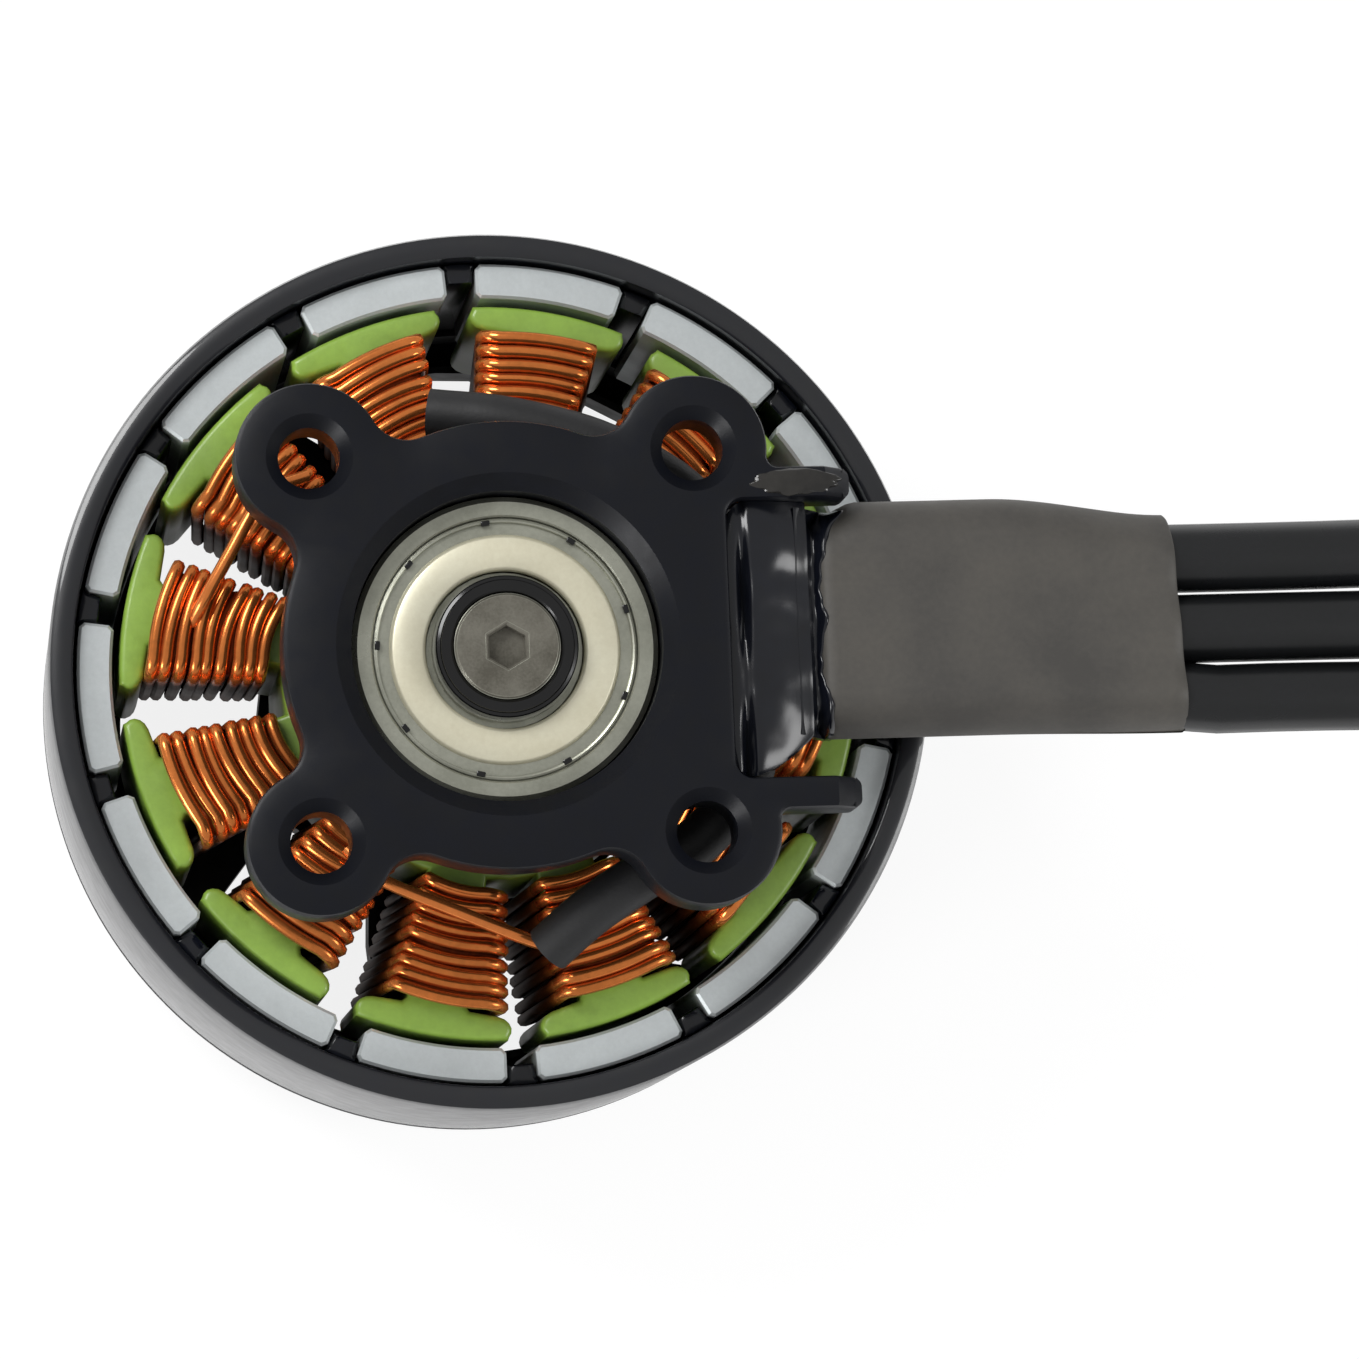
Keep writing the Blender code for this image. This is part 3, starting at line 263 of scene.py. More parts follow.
def make_materials():
    """Every finish of the motor, named for what it is."""
    tones = bpy.context.scene.motor_colours
    anodised = tuple(tones.anodised)
    copper = tuple(tones.copper)
    epoxy = tuple(tones.epoxy)
    nickel = tuple(tones.magnet)
    return {
        # Machined aluminium, blasted and anodised: a fine even satin, near black with a trace of blue
        "anodised": finish_material(
            "anodised_aluminium", anodised, darker(anodised, 0.6),
            rough=(0.32, 0.44), grain_mm=0.1, bump_mm=0.004, specular=0.24,
        ),
        # The bell's ring is turned steel under a gloss black finish that mirrors the floor at a low angle
        "ring": finish_material(
            "blackened_steel", anodised, darker(anodised, 0.6),
            rough=(0.3, 0.4), grain_mm=0.1, bump_mm=0.002, coat=0.7, coat_rough=0.06, specular=0.4,
        ),
        # Polyester enamel on copper: an orange metal, bright on the outer turns, with black varnish and
        # painted shade on the coils' sides and painted shade lower down
        "copper": varnish_and_shade_sides(
            finish_material(
                "enamelled_copper", copper, darker(copper, 0.55),
                rough=(0.15, 0.28), grain_mm=0.5, bump_mm=0.004, metallic=0.85, specular=0.12,
            )
        ),
        # The tails that cross to the next coil carry no varnish: clear enamel on copper, orange all round
        "bare_copper": finish_material(
            "copper_tail", copper, darker(copper, 0.7),
            rough=(0.16, 0.3), grain_mm=0.5, bump_mm=0.004, metallic=0.8,
        ),
        # The lower layer of wire lies in the shade and under varnish: a dark red-brown
        "deep_copper": varnish_and_shade_sides(
            finish_material(
                "shaded_varnished_copper", srgb("#8A3A14"), srgb("#3A1508"),
                rough=(0.3, 0.5), grain_mm=0.5, bump_mm=0.01, metallic=0.5, specular=0.12,
            )
        ),
        # Sprayed epoxy powder on laminations: soft edges and an orange-peel gloss
        "epoxy": finish_material(
            "epoxy_coat", epoxy, darker(epoxy, 0.72),
            rough=(0.3, 0.45), grain_mm=0.5, bump_mm=0.02, coat=0.2, coat_rough=0.2,
        ),
        # Nickel plate on sintered magnet: pale, slightly dull metal
        "nickel": finish_material(
            "nickel_plate", nickel, darker(nickel, 0.82),
            rough=(0.34, 0.5), grain_mm=0.25, bump_mm=0.004, metallic=0.4,
        ),
        # Ground bearing steel: smooth, greenish grey
        "bearing": finish_material(
            "bearing_steel", srgb("#B5B6A8"), srgb("#96978A"),
            rough=(0.26, 0.4), grain_mm=0.2, bump_mm=0.001, metallic=0.75,
        ),
        # Pressed shield steel with a faint warm tone, the brightest metal here
        "shield": finish_material(
            "pressed_steel", srgb("#EAE6CE"), srgb("#D8D2B8"),
            rough=(0.3, 0.42), grain_mm=0.3, bump_mm=0.001, metallic=0.45,
        ),
        # Plain screw steel with a dull dark oxide, mottled by the key
        "screw": finish_material(
            "oxide_steel", srgb("#7C796F"), srgb("#56534A"),
            rough=(0.34, 0.5), grain_mm=0.15, bump_mm=0.01, metallic=0.6,
        ),
        # Ground and polished shaft steel: an even bright grey
        "shaft": finish_material(
            "ground_steel", srgb("#B9B9B4"), srgb("#A0A09A"),
            rough=(0.2, 0.3), grain_mm=0.2, bump_mm=0.001, metallic=1.0,
        ),
        # Black plating on a turned washer: deep gloss that mirrors the room at its edges
        "washer": finish_material(
            "black_plating", srgb("#0C0C0D"), srgb("#060606"),
            rough=(0.12, 0.2), grain_mm=0.2, bump_mm=0.001,
        ),
        # Woven sleeving, its threads too fine to show: drawn as a dull black with a coarser grain
        "sleeve": finish_material(
            "black_sleeving", srgb("#1D1D1F"), srgb("#121213"),
            rough=(0.5, 0.65), grain_mm=0.3, bump_mm=0.02,
        ),
        # Poured epoxy: a wet blue-black
        "potting": finish_material(
            "black_potting", srgb("#10131C"), srgb("#090A0E"),
            rough=(0.1, 0.26), grain_mm=1.2, bump_mm=0.006,
        ),
        # Clear glue dried on the black arm: a brown tint and a hard gloss
        "glue": finish_material(
            "dried_glue", srgb("#2E2C29"), srgb("#171615"),
            rough=(0.06, 0.2), grain_mm=0.7, bump_mm=0.02,
        ),
        # Shrunk polyolefin: a dull dark grey
        "shrink": finish_material(
            "polyolefin_shrink", srgb("#4A4742"), srgb("#3B3936"),
            rough=(0.5, 0.66), grain_mm=0.4, bump_mm=0.008,
        ),
        # Silicone insulation: soft black with a broad highlight
        "lead": finish_material(
            "silicone_insulation", srgb("#151618"), srgb("#0F1011"),
            rough=(0.24, 0.34), grain_mm=0.3, bump_mm=0.003,
        ),
        # Tinned copper strands: bright solder with the strands' ridges under it
        "tinned": finish_material(
            "tinned_strands", srgb("#D0D0CA"), srgb("#A9A9A2"),
            rough=(0.25, 0.4), grain_mm=0.25, bump_mm=0.03, metallic=1.0,
        ),
    }


def add_object(name, data):
    """Adds an object to the scene."""
    obj = bpy.data.objects.new(name, data)
    bpy.context.scene.collection.objects.link(obj)
    return obj


def place_piece(name, data, body, nodes=()):
    """Makes a piece of a mesh or a curve, with its body and the solids that it stands for."""
    piece = add_object(name, data)
    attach(piece, body)
    if nodes:
        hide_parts(*nodes)
    return piece


def dress(name, bm, finish, body, nodes=(), sharp=35):
    """Makes a finished piece of a bmesh: outward faces, smooth shading, its body and what it replaces."""
    bmesh.ops.remove_doubles(bm, verts=bm.verts, dist=1e-7)
    bmesh.ops.recalc_face_normals(bm, faces=bm.faces)
    mesh = bpy.data.meshes.new(name)
    bm.to_mesh(mesh)
    bm.free()
    mesh.materials.append(MATERIALS[finish])
    mesh.shade_smooth()
    mesh.set_sharp_from_angle(angle=math.radians(sharp))
    return place_piece(name, mesh, body, nodes)


def dress_node(name, finish):
    """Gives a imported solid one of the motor's finishes."""
    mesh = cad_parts[name].data
    if not mesh.materials:
        mesh.materials.append(MATERIALS[finish])
    for i in range(len(mesh.materials)):
        mesh.materials[i] = MATERIALS[finish]


# Heights closer than this are the same
LEVEL = 1e-9


def turned(profile, steps, bm=None):
    """Spins a closed outline of radius and height, in metres, round the shaft's axis."""
    bm = bm or bmesh.new()
    verts = [bm.verts.new((r, 0, z)) for r, z in profile]
    edges = [bm.edges.new(pair) for pair in zip(verts, verts[1:] + verts[:1])]
    bmesh.ops.spin(
        bm, geom=verts + edges, cent=(0, 0, 0), axis=(0, 0, 1), angle=2 * math.pi, steps=steps, use_merge=True
    )
    return bm


def millimetres(outline, level=0.0):
    """Radii and heights in millimetres above a level, as metres."""
    return [(r * MM, level + z * MM) for r, z in outline]


def bevel(bm, edges, offset, segments=1):
    """Rounds or chamfers edges."""
    bmesh.ops.bevel(
        bm, geom=edges, offset=offset, segments=segments, profile=0.5, affect="EDGES", material=-1
    )


def lift(bm, faces, height):
    """Extrudes faces straight up, or down, and returns the vertices that moved."""
    made = bmesh.ops.extrude_face_region(bm, geom=faces)
    moved = [g for g in made["geom"] if isinstance(g, bmesh.types.BMVert)]
    bmesh.ops.translate(bm, verts=moved, vec=(0, 0, height))
    return moved


def plate(bm, loops, low, high):
    """Fills closed outlines, with the holes among them, and raises them from one height to another."""
    edges = []
    for loop in loops:
        verts = [bm.verts.new((x, y, low)) for x, y in loop]
        edges += [bm.edges.new(pair) for pair in zip(verts, verts[1:] + verts[:1])]
    filled = bmesh.ops.triangle_fill(bm, use_beauty=True, edges=edges)
    lift(bm, [g for g in filled["geom"] if isinstance(g, bmesh.types.BMFace)], high - low)


def is_level(edge):
    """Whether both ends of an edge are at one height."""
    return abs(edge.verts[0].co.z - edge.verts[1].co.z) < LEVEL


def prism(bm, outline, low, high, edge, segments):
    """Extrudes a flat outline from one height to another and rounds its two rims."""
    face = bm.faces.new([bm.verts.new((x, y, low)) for x, y in outline])
    ours = set(lift(bm, [face], high - low)) | set(face.verts)
    rims = {e for v in ours for e in v.link_edges if is_level(e)}
    bevel(bm, list(rims), edge, segments)


def arc(radius, start, end, steps, centre=(0, 0)):
    """Points on an arc, with both its ends."""
    return [
        (
            centre[0] + radius * math.cos(start + (end - start) * i / steps),
            centre[1] + radius * math.sin(start + (end - start) * i / steps),
        )
        for i in range(steps + 1)
    ]


def circle(radius, count, centre=(0, 0)):
    """Points round a full circle."""
    return arc(radius, 0, 2 * math.pi * (count - 1) / count, count - 1, centre)


def polar(radius, angle):
    """A point at a radius and an angle round the shaft's axis."""
    return (radius * math.cos(angle), radius * math.sin(angle))


def turn_point(x, y, angle):
    """A point turned round the shaft's axis."""
    return (x * math.cos(angle) - y * math.sin(angle), x * math.sin(angle) + y * math.cos(angle))


def smooth_line(points, step):
    """Points about a step apart on a smooth curve through a route's own points."""
    route = [Vector(p) for p in points]
    ends = [2 * route[0] - route[1]] + route + [2 * route[-1] - route[-2]]
    fine = []
    for a, b, c, d in zip(ends, ends[1:], ends[2:], ends[3:]):
        for i in range(16):
            t = i / 16
            square = 2 * a - 5 * b + 4 * c - d
            cube = 3 * b - a - 3 * c + d
            fine.append(0.5 * (2 * b + (c - a) * t + square * t * t + cube * t * t * t))
    fine.append(route[-1])
    length = sum((b - a).length for a, b in zip(fine, fine[1:]))
    count = max(2, round(length / step))
    even = [fine[0]]
    walked = 0.0
    for a, b in zip(fine, fine[1:]):
        walked += (b - a).length
        if walked >= length * len(even) / count and len(even) < count:
            even.append(b)
    return even + [fine[-1]]


def wire_curve(name, radius, resolution, finish):
    """An empty curve whose lines are round wires."""
    curve = bpy.data.curves.new(name, "CURVE")
    curve.dimensions = "3D"
    curve.bevel_depth = radius
    curve.bevel_resolution = resolution
    curve.use_fill_caps = True
    curve.materials.append(MATERIALS[finish])
    return curve


def add_line(curve, points, closed=False):
    """Adds one wire to a curve."""
    spline = curve.splines.new("POLY")
    spline.points.add(len(points) - 1)
    for point, place in zip(spline.points, points):
        point.co = (*place, 1.0)
    spline.use_cyclic_u = closed
    spline.use_smooth = True


# Where the photograph was taken from, measured from the bearing's face, and the camera's turn in degrees
CAMERA_PLACE = (-31.351 * MM, -43.532 * MM, 346.001 * MM + BEARING_FACE)
CAMERA_TURN = (7.0677, -6.4695, -2.2972)


class MOTOR_OT_camera(bpy.types.Operator):
    """Places the camera where the photograph was taken from"""

    bl_idname = "motor.camera"
    bl_label = "Camera"

    def execute(self, context):
        data = bpy.data.cameras.new("camera")
        data.lens = context.scene.motor_sizes.lens
        data.sensor_width = 36.0
        data.sensor_fit = "HORIZONTAL"
        data.clip_start = 0.01
        camera = add_object("camera", data)
        camera.location = CAMERA_PLACE
        camera.rotation_euler = [math.radians(a) for a in CAMERA_TURN]
        context.scene.camera = camera
        return {"FINISHED"}


# Route of the leads, as in the part: x and z of the centre line, and each lead's stray sideways
LEAD_Z = 30.6
LEAD_Y = 0.4
LEAD_PITCH = 4.0
LEAD_START_X = 38.5
LEAD_ROUTE = (
    (LEAD_START_X, LEAD_Z), (45.0, LEAD_Z), (52.0, 30.2), (59.0, 27.7), (65.5, 22.4), (71.5, 15.6),
    (78.0, 9.0), (85.0, 4.7), (93.0, 2.7), (102.0, 2.25), (119.0, 2.25), (136.0, 2.25), (152.0, 2.25),
)
LEAD_STRAY = {
    "lead_1": (0, 0, 0.1, 0.3, 0.7, 1.3, 2.1, 3.1, 4.4, 5.8, 7.8, 8.5, 8.0),
    "lead_2": (0, 0, 0, 0.1, 0.2, 0.4, 0.6, 0.8, 0.8, 0.6, -0.2, -1.0, -1.2),
    "lead_3": (0, 0, -0.1, -0.3, -0.7, -1.2, -1.9, -2.7, -3.7, -5.0, -7.8, -10.2, -12.0),
}
# Each lead starts a little inside the heat-shrink, and half of its tinned end counts in its length
LEAD_INSIDE = 1.5 * MM
LEAD_INSIDE_STRAY = {"lead_1": 0.0, "lead_2": 0.0, "lead_3": 0.3 * MM}


class MOTOR_OT_leads(bpy.types.Operator):
    """Lays the three silicone leads from the heat-shrink to their tinned ends"""

    bl_idname = "motor.leads"
    bl_label = "Leads"

    def execute(self, context):
        radius = context.scene.motor_sizes.lead / 2
        for number, name in enumerate(LEAD_STRAY):
            start = LEAD_Y + (1 - number) * LEAD_PITCH
            spots = zip(LEAD_ROUTE, LEAD_STRAY[name])
            route = [(x * MM, (start + stray) * MM, z * MM) for (x, z), stray in spots]
            x, y, z = route[0]
            route.insert(0, (x - LEAD_INSIDE, y + LEAD_INSIDE_STRAY[name], z))
            curve = wire_curve(name + "_insulation", radius, 6, "lead")
            line = smooth_line(route, 3.0 * MM)
            add_line(curve, line)
            piece = place_piece(name + "_insulation", curve, "stator", (name,))
            dress_node(name + "_tip", "tinned")
        return {"FINISHED"}


def shorter_turn(start, end):
    """The shorter way round from one angle to another."""
    return (end - start + math.pi) % (2 * math.pi) - math.pi


def direction(centre, to):
    """The angle at which one point lies from another."""
    return math.atan2(to[1] - centre[1], to[0] - centre[0])


def ear_spread():
    """Half the angle between the fillets beside an ear, seen from the axis."""
    near = WAIST_R + EAR_FILLET
    reach = EAR_R + EAR_FILLET
    return math.acos((near**2 + EAR_AT**2 - reach**2) / (2 * near * EAR_AT))


def ear_side(middle, side):
    """The fillet and half of an ear on one side of its middle line, from the waist outwards."""
    fillet = polar(WAIST_R + EAR_FILLET, middle + side * ear_spread())
    ear = polar(EAR_AT, middle)
    to_ear = direction(fillet, ear)
    to_axis = direction(fillet, (0, 0))
    out = to_ear + math.pi
    points = arc(EAR_FILLET, to_axis, to_axis + shorter_turn(to_axis, to_ear), 10, fillet)
    return points + arc(EAR_R, out, out + shorter_turn(out, middle), 20, ear)[1:]


def arm_side(middle, side):
    """From the middle of a right-hand ear round the guide arm to the notch."""
    ear = polar(EAR_AT, middle)
    arm_out = NOTCH_HALF + ARM_WIDTH
    root_y = arm_out + ARM_ROUND
    reach = math.sqrt((EAR_R + ARM_ROUND) ** 2 - (abs(ear[1]) - root_y) ** 2)
    fillet = (ear[0] + reach, side * root_y)
    to_ear = direction(fillet, ear)
    up = side * math.pi / 2
    points = arc(EAR_R, middle, middle + shorter_turn(middle, direction(ear, fillet)), 14, ear)
    points += arc(ARM_ROUND, to_ear, to_ear + shorter_turn(to_ear, -up), 8, fillet)[1:]
    points += arc(ARM_ROUND, up, 0, 8, (ARM_END - ARM_ROUND, side * (arm_out - ARM_ROUND)))
    points += arc(ARM_ROUND, 0, -up, 8, (ARM_END - ARM_ROUND, side * (NOTCH_HALF + ARM_ROUND)))[1:]
    points += arc(NOTCH_ROUND, up, 2 * up, 8, (NOTCH_X + NOTCH_ROUND, side * (NOTCH_HALF - NOTCH_ROUND)))
    return points


def plate_outline():
    """The base plate from above: four ears on a round waist and two arms beside the leads."""
    quarter = math.pi / 2
    spread = ear_spread()
    waist = [(quarter - 2 * spread) * i / 12 + spread for i in range(1, 12)]
    outline = ear_side(quarter / 2, 1)[::-1]
    for middle in (quarter * 1.5, quarter * 2.5):
        outline += [polar(WAIST_R, middle - quarter + turn) for turn in waist]
        outline += ear_side(middle, -1) + ear_side(middle, 1)[::-1][1:]
    outline += [polar(WAIST_R, quarter * 2.5 + turn) for turn in waist] + ear_side(quarter * 3.5, -1)
    return outline + arm_side(quarter * 3.5, -1)[1:] + arm_side(quarter / 2, 1)[::-1][:-1]


def rim_edges(bm, height, centre=None, radius=0.0):
    """Sharp edges at a height, all of them or those on a circle."""
    found = []
    for edge in bm.edges:
        if any(abs(v.co.z - height) > 1.6 * MM for v in edge.verts) or edge.calc_face_angle(0.0) < 1.0:
            continue
        if abs(edge.verts[0].co.z - edge.verts[1].co.z) > 0.8 * edge.calc_length():
            continue
        on_circle = centre is not None and all(
            abs(math.hypot(v.co.x - centre[0], v.co.y - centre[1]) - radius) < 0.02 * MM for v in edge.verts
        )
        if centre is None or on_circle:
            found.append(edge)
    return found


def on_outline(vertex, holes):
    """Whether a vertex lies on the plate's outline, away from its bore and its screw holes."""
    place = tuple(vertex.co.xy)
    return math.hypot(*place) > WAIST_R - 0.2 * MM and all(math.dist(place, hole) > 3 * MM for hole in holes)


def glue_film():
    """A lumpy oval of glue with a wavy rim that lies on the upper arm."""
    film = bmesh.new()
    bmesh.ops.create_grid(film, x_segments=90, y_segments=40, size=1.0)
    for v in film.verts:
        along = v.co.x * math.sqrt(1 - v.co.y**2 / 2)
        across = v.co.y * math.sqrt(1 - v.co.x**2 / 2)
        rim = along**2 + across**2
        wave = 1 + 0.16 * rim * noise.noise(Vector((along * 3, across * 3, 4.0)))
        x = (16.2 + 2.5 * along * wave) * MM
        y = NOTCH_HALF + (0.87 + 0.74 * across * wave) * MM
        lump = noise.noise(Vector((x, y, 0)) * 640) * 0.5 + 0.5
        v.co = (x, y, BASE_FACE + (0.05 + 0.40 * lump) * (1 - rim**2) * MM - 0.03 * MM)
    lift(film, film.faces[:], -0.12 * MM)
    return film


class MOTOR_OT_base(bpy.types.Operator):
    """Makes the cross-shaped base with its tube, and the film of glue over its upper arm"""

    bl_idname = "motor.base"
    bl_label = "Base"

    def execute(self, context):
        bm = bmesh.new()
        holes = [polar(EAR_AT, math.pi / 4 + i * math.pi / 2) for i in range(4)]
        loops = [plate_outline(), circle(SEAT_R, 96)] + [circle(HOLE_R, 48, place) for place in holes]
        plate(bm, loops, PLATE_UNDERSIDE, BASE_FACE)
        slope_x = ARM_END - ARM_SLOPE
        whole = bm.verts[:] + bm.edges[:] + bm.faces[:]
        bmesh.ops.bisect_plane(bm, geom=whole, plane_co=(slope_x, 0, 0), plane_no=(1, 0, 0))
        for v in bm.verts:
            if v.co.x > slope_x and v.co.z > BASE_FACE - 0.1 * MM:
                v.co.z -= v.co.x - slope_x
        bmesh.ops.recalc_face_normals(bm, faces=bm.faces)
        bevel(bm, [e for place in holes for e in rim_edges(bm, BASE_FACE, place, HOLE_R)], HOLE_COUNTERSINK)
        bevel(bm, rim_edges(bm, BASE_FACE, (0, 0), SEAT_R), MOUTH_CHAMFER)
        rims = rim_edges(bm, BASE_FACE) + rim_edges(bm, PLATE_UNDERSIDE)
        rims = [e for e in set(rims) if all(on_outline(v, holes) for v in e.verts)]
        bevel(bm, rims, PLATE_EDGE, 2)
        foot = foot_of("motor_base")
        low_seat, high_seat = foot + LOWER_SEAT_DEPTH, BASE_FACE - UPPER_SEAT_DEPTH
        step_r = SEAT_R - SEAT_STEP
        wall = [
            (TUBE_R, foot),
            (TUBE_R, PLATE_UNDERSIDE),
            (SEAT_R, PLATE_UNDERSIDE),
            (SEAT_R, high_seat),
            (step_r, high_seat),
            (step_r, low_seat),
            (SEAT_R, low_seat),
            (SEAT_R, foot),
        ]
        turned(wall, 96, bm)
        dress("base_body", bm, "anodised", "stator", ("motor_base",), 40)
        dress("arm_glue_film", glue_film(), "glue", "stator", (), 60)
        return {"FINISHED"}


# Half of a tooth from its root to the corner of its shoe, in millimetres along and across it
HALF_TOOTH = (
    (11.75, 1.70), (19.05, 1.70), (19.28, 1.95), (19.30, 3.60), (19.38, 3.98),
    (19.56, 4.26), (19.82, 4.44), (20.10, 4.47), (20.34, 4.38),
)
SLOT_ROOT_R = 11.9 * MM
STACK_BORE_R = 9.95 * MM
EPOXY_ROUND = 0.32 * MM


class MOTOR_OT_stator(bpy.types.Operator):
    """Makes the coated stack of laminations with its twelve shoes"""

    bl_idname = "motor.stator"
    bl_label = "Stator stack"

    def execute(self, context):
        bm = bmesh.new()
        outline = []
        half = millimetres(HALF_TOOTH)
        reach = math.atan2(half[-1][1], half[-1][0]) * 0.985
        shoe = [(x, -y) for x, y in half] + arc(STATOR_R, -reach, reach, 10) + half[::-1]
        for i in range(TEETH):
            angle = TOOTH_PHASE + i * 2 * math.pi / TEETH
            outline += [turn_point(x, y, angle) for x, y in shoe]
            outline.append(turn_point(SLOT_ROOT_R, 0, angle + math.pi / TEETH))
        plate(bm, [outline, circle(STACK_BORE_R, 48)], STACK_LOW, STACK_TOP)
        rims = [e for e in bm.edges if is_level(e) and e.calc_face_angle(0.0) > math.radians(60)]
        bevel(bm, rims, EPOXY_ROUND, 3)
        dress("stator_stack", bm, "epoxy", "stator", ("stator_core",), 50)
        return {"FINISHED"}


# The windings run between these distances from the axis; the lower layer lies a step under the upper one
COIL_START = 12.30 * MM
COIL_END = 19.22 * MM
LAYER_STEP = 0.55 * MM
WIRE_CROWN = 0.16 * MM
WIRE_CORNER = 1.0 * MM
WIRE_DIPS = (0.0, 0.0, 0.05, 0.16, 0.3)

# Two tails that cross over their coils, in millimetres
TAIL_ROUTES = (
    (
        (-10.2, 11.0, 25.4), (-12.2, 10.2, 26.2), (-13.3, 9.0, 26.5),
        (-14.7, 6.6, 26.4), (-16.2, 4.1, 25.8), (-16.9, 2.9, 24.6),
    ),
    (
        (-8.6, -10.2, 25.2), (-7.6, -11.4, 26.0), (-6.3, -12.3, 26.3),
        (-2.5, -14.0, 26.4), (1.0, -15.5, 26.2), (2.4, -15.9, 25.6),
    ),
)


def turn_of_wire(half_width, half_height, x, bow, lean, dip, angle):
    """One closed turn of wire round a tooth: crowned and bowed on top, straight at its sides."""
    middle = (STACK_LOW + STACK_TOP) / 2
    flat = half_width - WIRE_CORNER
    half = []
    for i in range(9):
        t = i / 4 - 1
        rise = half_height - dip + WIRE_CROWN * (1 - t * t)
        half.append((x + bow * (1 - t * t) - bow * 0.6 + lean * t, flat * t, rise))
    for y, z in arc(WIRE_CORNER, math.pi / 2, 0, 4, (flat, half_height - dip - WIRE_CORNER))[1:]:
        half.append((x - bow * 0.6 + lean, y, z))
    turn = [(*turn_point(along, y, angle), middle + z) for along, y, z in half]
    return turn + [(*turn_point(2 * x - along - bow, -y, angle), middle - z) for along, y, z in half]


class MOTOR_OT_windings(bpy.types.Operator):
    """Winds two layers of enamelled wire round each of the twelve teeth"""

    bl_idname = "motor.windings"
    bl_label = "Windings"

    def execute(self, context):
        sizes = context.scene.motor_sizes
        radius = sizes.wire / 2
        rng = random.Random(12)
        outer = wire_curve("coil_wires", radius, 2, "copper")
        lower = wire_curve("lower_wires", radius, 2, "deep_copper")
        start, end = COIL_START + radius, COIL_END - radius
        half_stack = (STACK_TOP - STACK_LOW) / 2
        for tooth in range(TEETH):
            angle = TOOTH_PHASE + tooth * 2 * math.pi / TEETH
            lean = rng.choice((-1, 1)) * rng.uniform(0.1, 0.3) * MM
            bow = rng.uniform(0.1, 0.3) * MM
            for layer, curve in enumerate((outer, lower)):
                sink = layer * LAYER_STEP
                for i in range(sizes.turns - layer):
                    share = (i + 0.5 * layer) / (sizes.turns - 1)
                    x = start + (end - start) * share + rng.uniform(-0.09, 0.09) * MM * (0 < share < 1)
                    dip = rng.choice(WIRE_DIPS) * MM
                    # A coil grows wider and taller outwards
                    wide = (3.05 + 0.95 * share) * MM - radius - sink
                    tall = half_stack + (2.0 + 0.6 * share) * MM - radius - sink - WIRE_CROWN
                    tilt = lean * rng.uniform(0.5, 1.3)
                    add_line(curve, turn_of_wire(wide, tall, x, bow, tilt, dip, angle), True)
        nodes = [f"coil_{i:02d}" for i in range(1, TEETH + 1)]
        place_piece("coil_wires", outer, "stator", nodes)
        place_piece("lower_wires", lower, "stator")
        tails = wire_curve("crossing_wires", radius, 3, "bare_copper")
        for route in TAIL_ROUTES:
            add_line(tails, smooth_line([(x * MM, y * MM, z * MM) for x, y, z in route], 0.6 * MM))
        place_piece("crossing_wires", tails, "stator")
        return {"FINISHED"}


# Wall of the bell's ring, and the steps of its rounded shoulder
RING_WALL = 1.4 * MM
QUARTER_TURN = [math.radians(a) for a in range(0, 91, 9)]

# The rounded band at the bell's closed end, in millimetres from the axis and above its foot
SHOULDER_OUTSIDE = [(21.61 + 3.4 * math.sin(a), 0.59 + 3.4 * (1 - math.cos(a))) for a in QUARTER_TURN]
SHOULDER_INSIDE = [(21.3 + 3.2 * math.sin(a), 1.0 + 3.2 * (1 - math.cos(a))) for a in QUARTER_TURN]
SHOULDER_BAND = SHOULDER_OUTSIDE + [(25.01, 4.58), (24.93, 4.70), (24.5, 4.70)] + SHOULDER_INSIDE[::-1]


class MOTOR_OT_bell(bpy.types.Operator):
    """Turns the bell's ring and finishes its end"""

    bl_idname = "motor.bell"
    bl_label = "Bell"

    def execute(self, context):
        low = foot_of("flux_ring")
        inner = BELL_R - RING_WALL
        profile = [
            (inner, low),
            (BELL_R, low),
            (BELL_R, RIM_TOP - 0.45 * MM),
            (BELL_R - 0.12 * MM, RIM_TOP - 0.14 * MM),
            (BELL_R - 0.4 * MM, RIM_TOP),
            (inner + 0.25 * MM, RIM_TOP),
            (inner + 0.05 * MM, RIM_TOP - 0.1 * MM),
            (inner, RIM_TOP - 0.4 * MM),
        ]
        dress("bell_ring", turned(profile, 192), "ring", "rotor", ("flux_ring",))
        dress_node("bell_cap", "anodised")
        profile = millimetres(SHOULDER_BAND, foot_of("bell_cap"))
        dress("bell_shoulder", turned(profile, 192), "anodised", "rotor")
        return {"FINISHED"}


# Radii of the magnets' faces and of the glue between them, and how far their edges are worn or rounded
MAGNET_INSIDE = 21.42 * MM
MAGNET_OUTSIDE = 23.38 * MM
MAGNET_EDGE = 0.16 * MM
GLUE_INSIDE = 22.35 * MM
GLUE_EDGE = 0.25 * MM
# A magnet's corners are cut by this turn in radians and by these shares of its two radii
CORNER_TURN = 0.012
OUTER_CUT = 0.988
INNER_CUT = 1.014


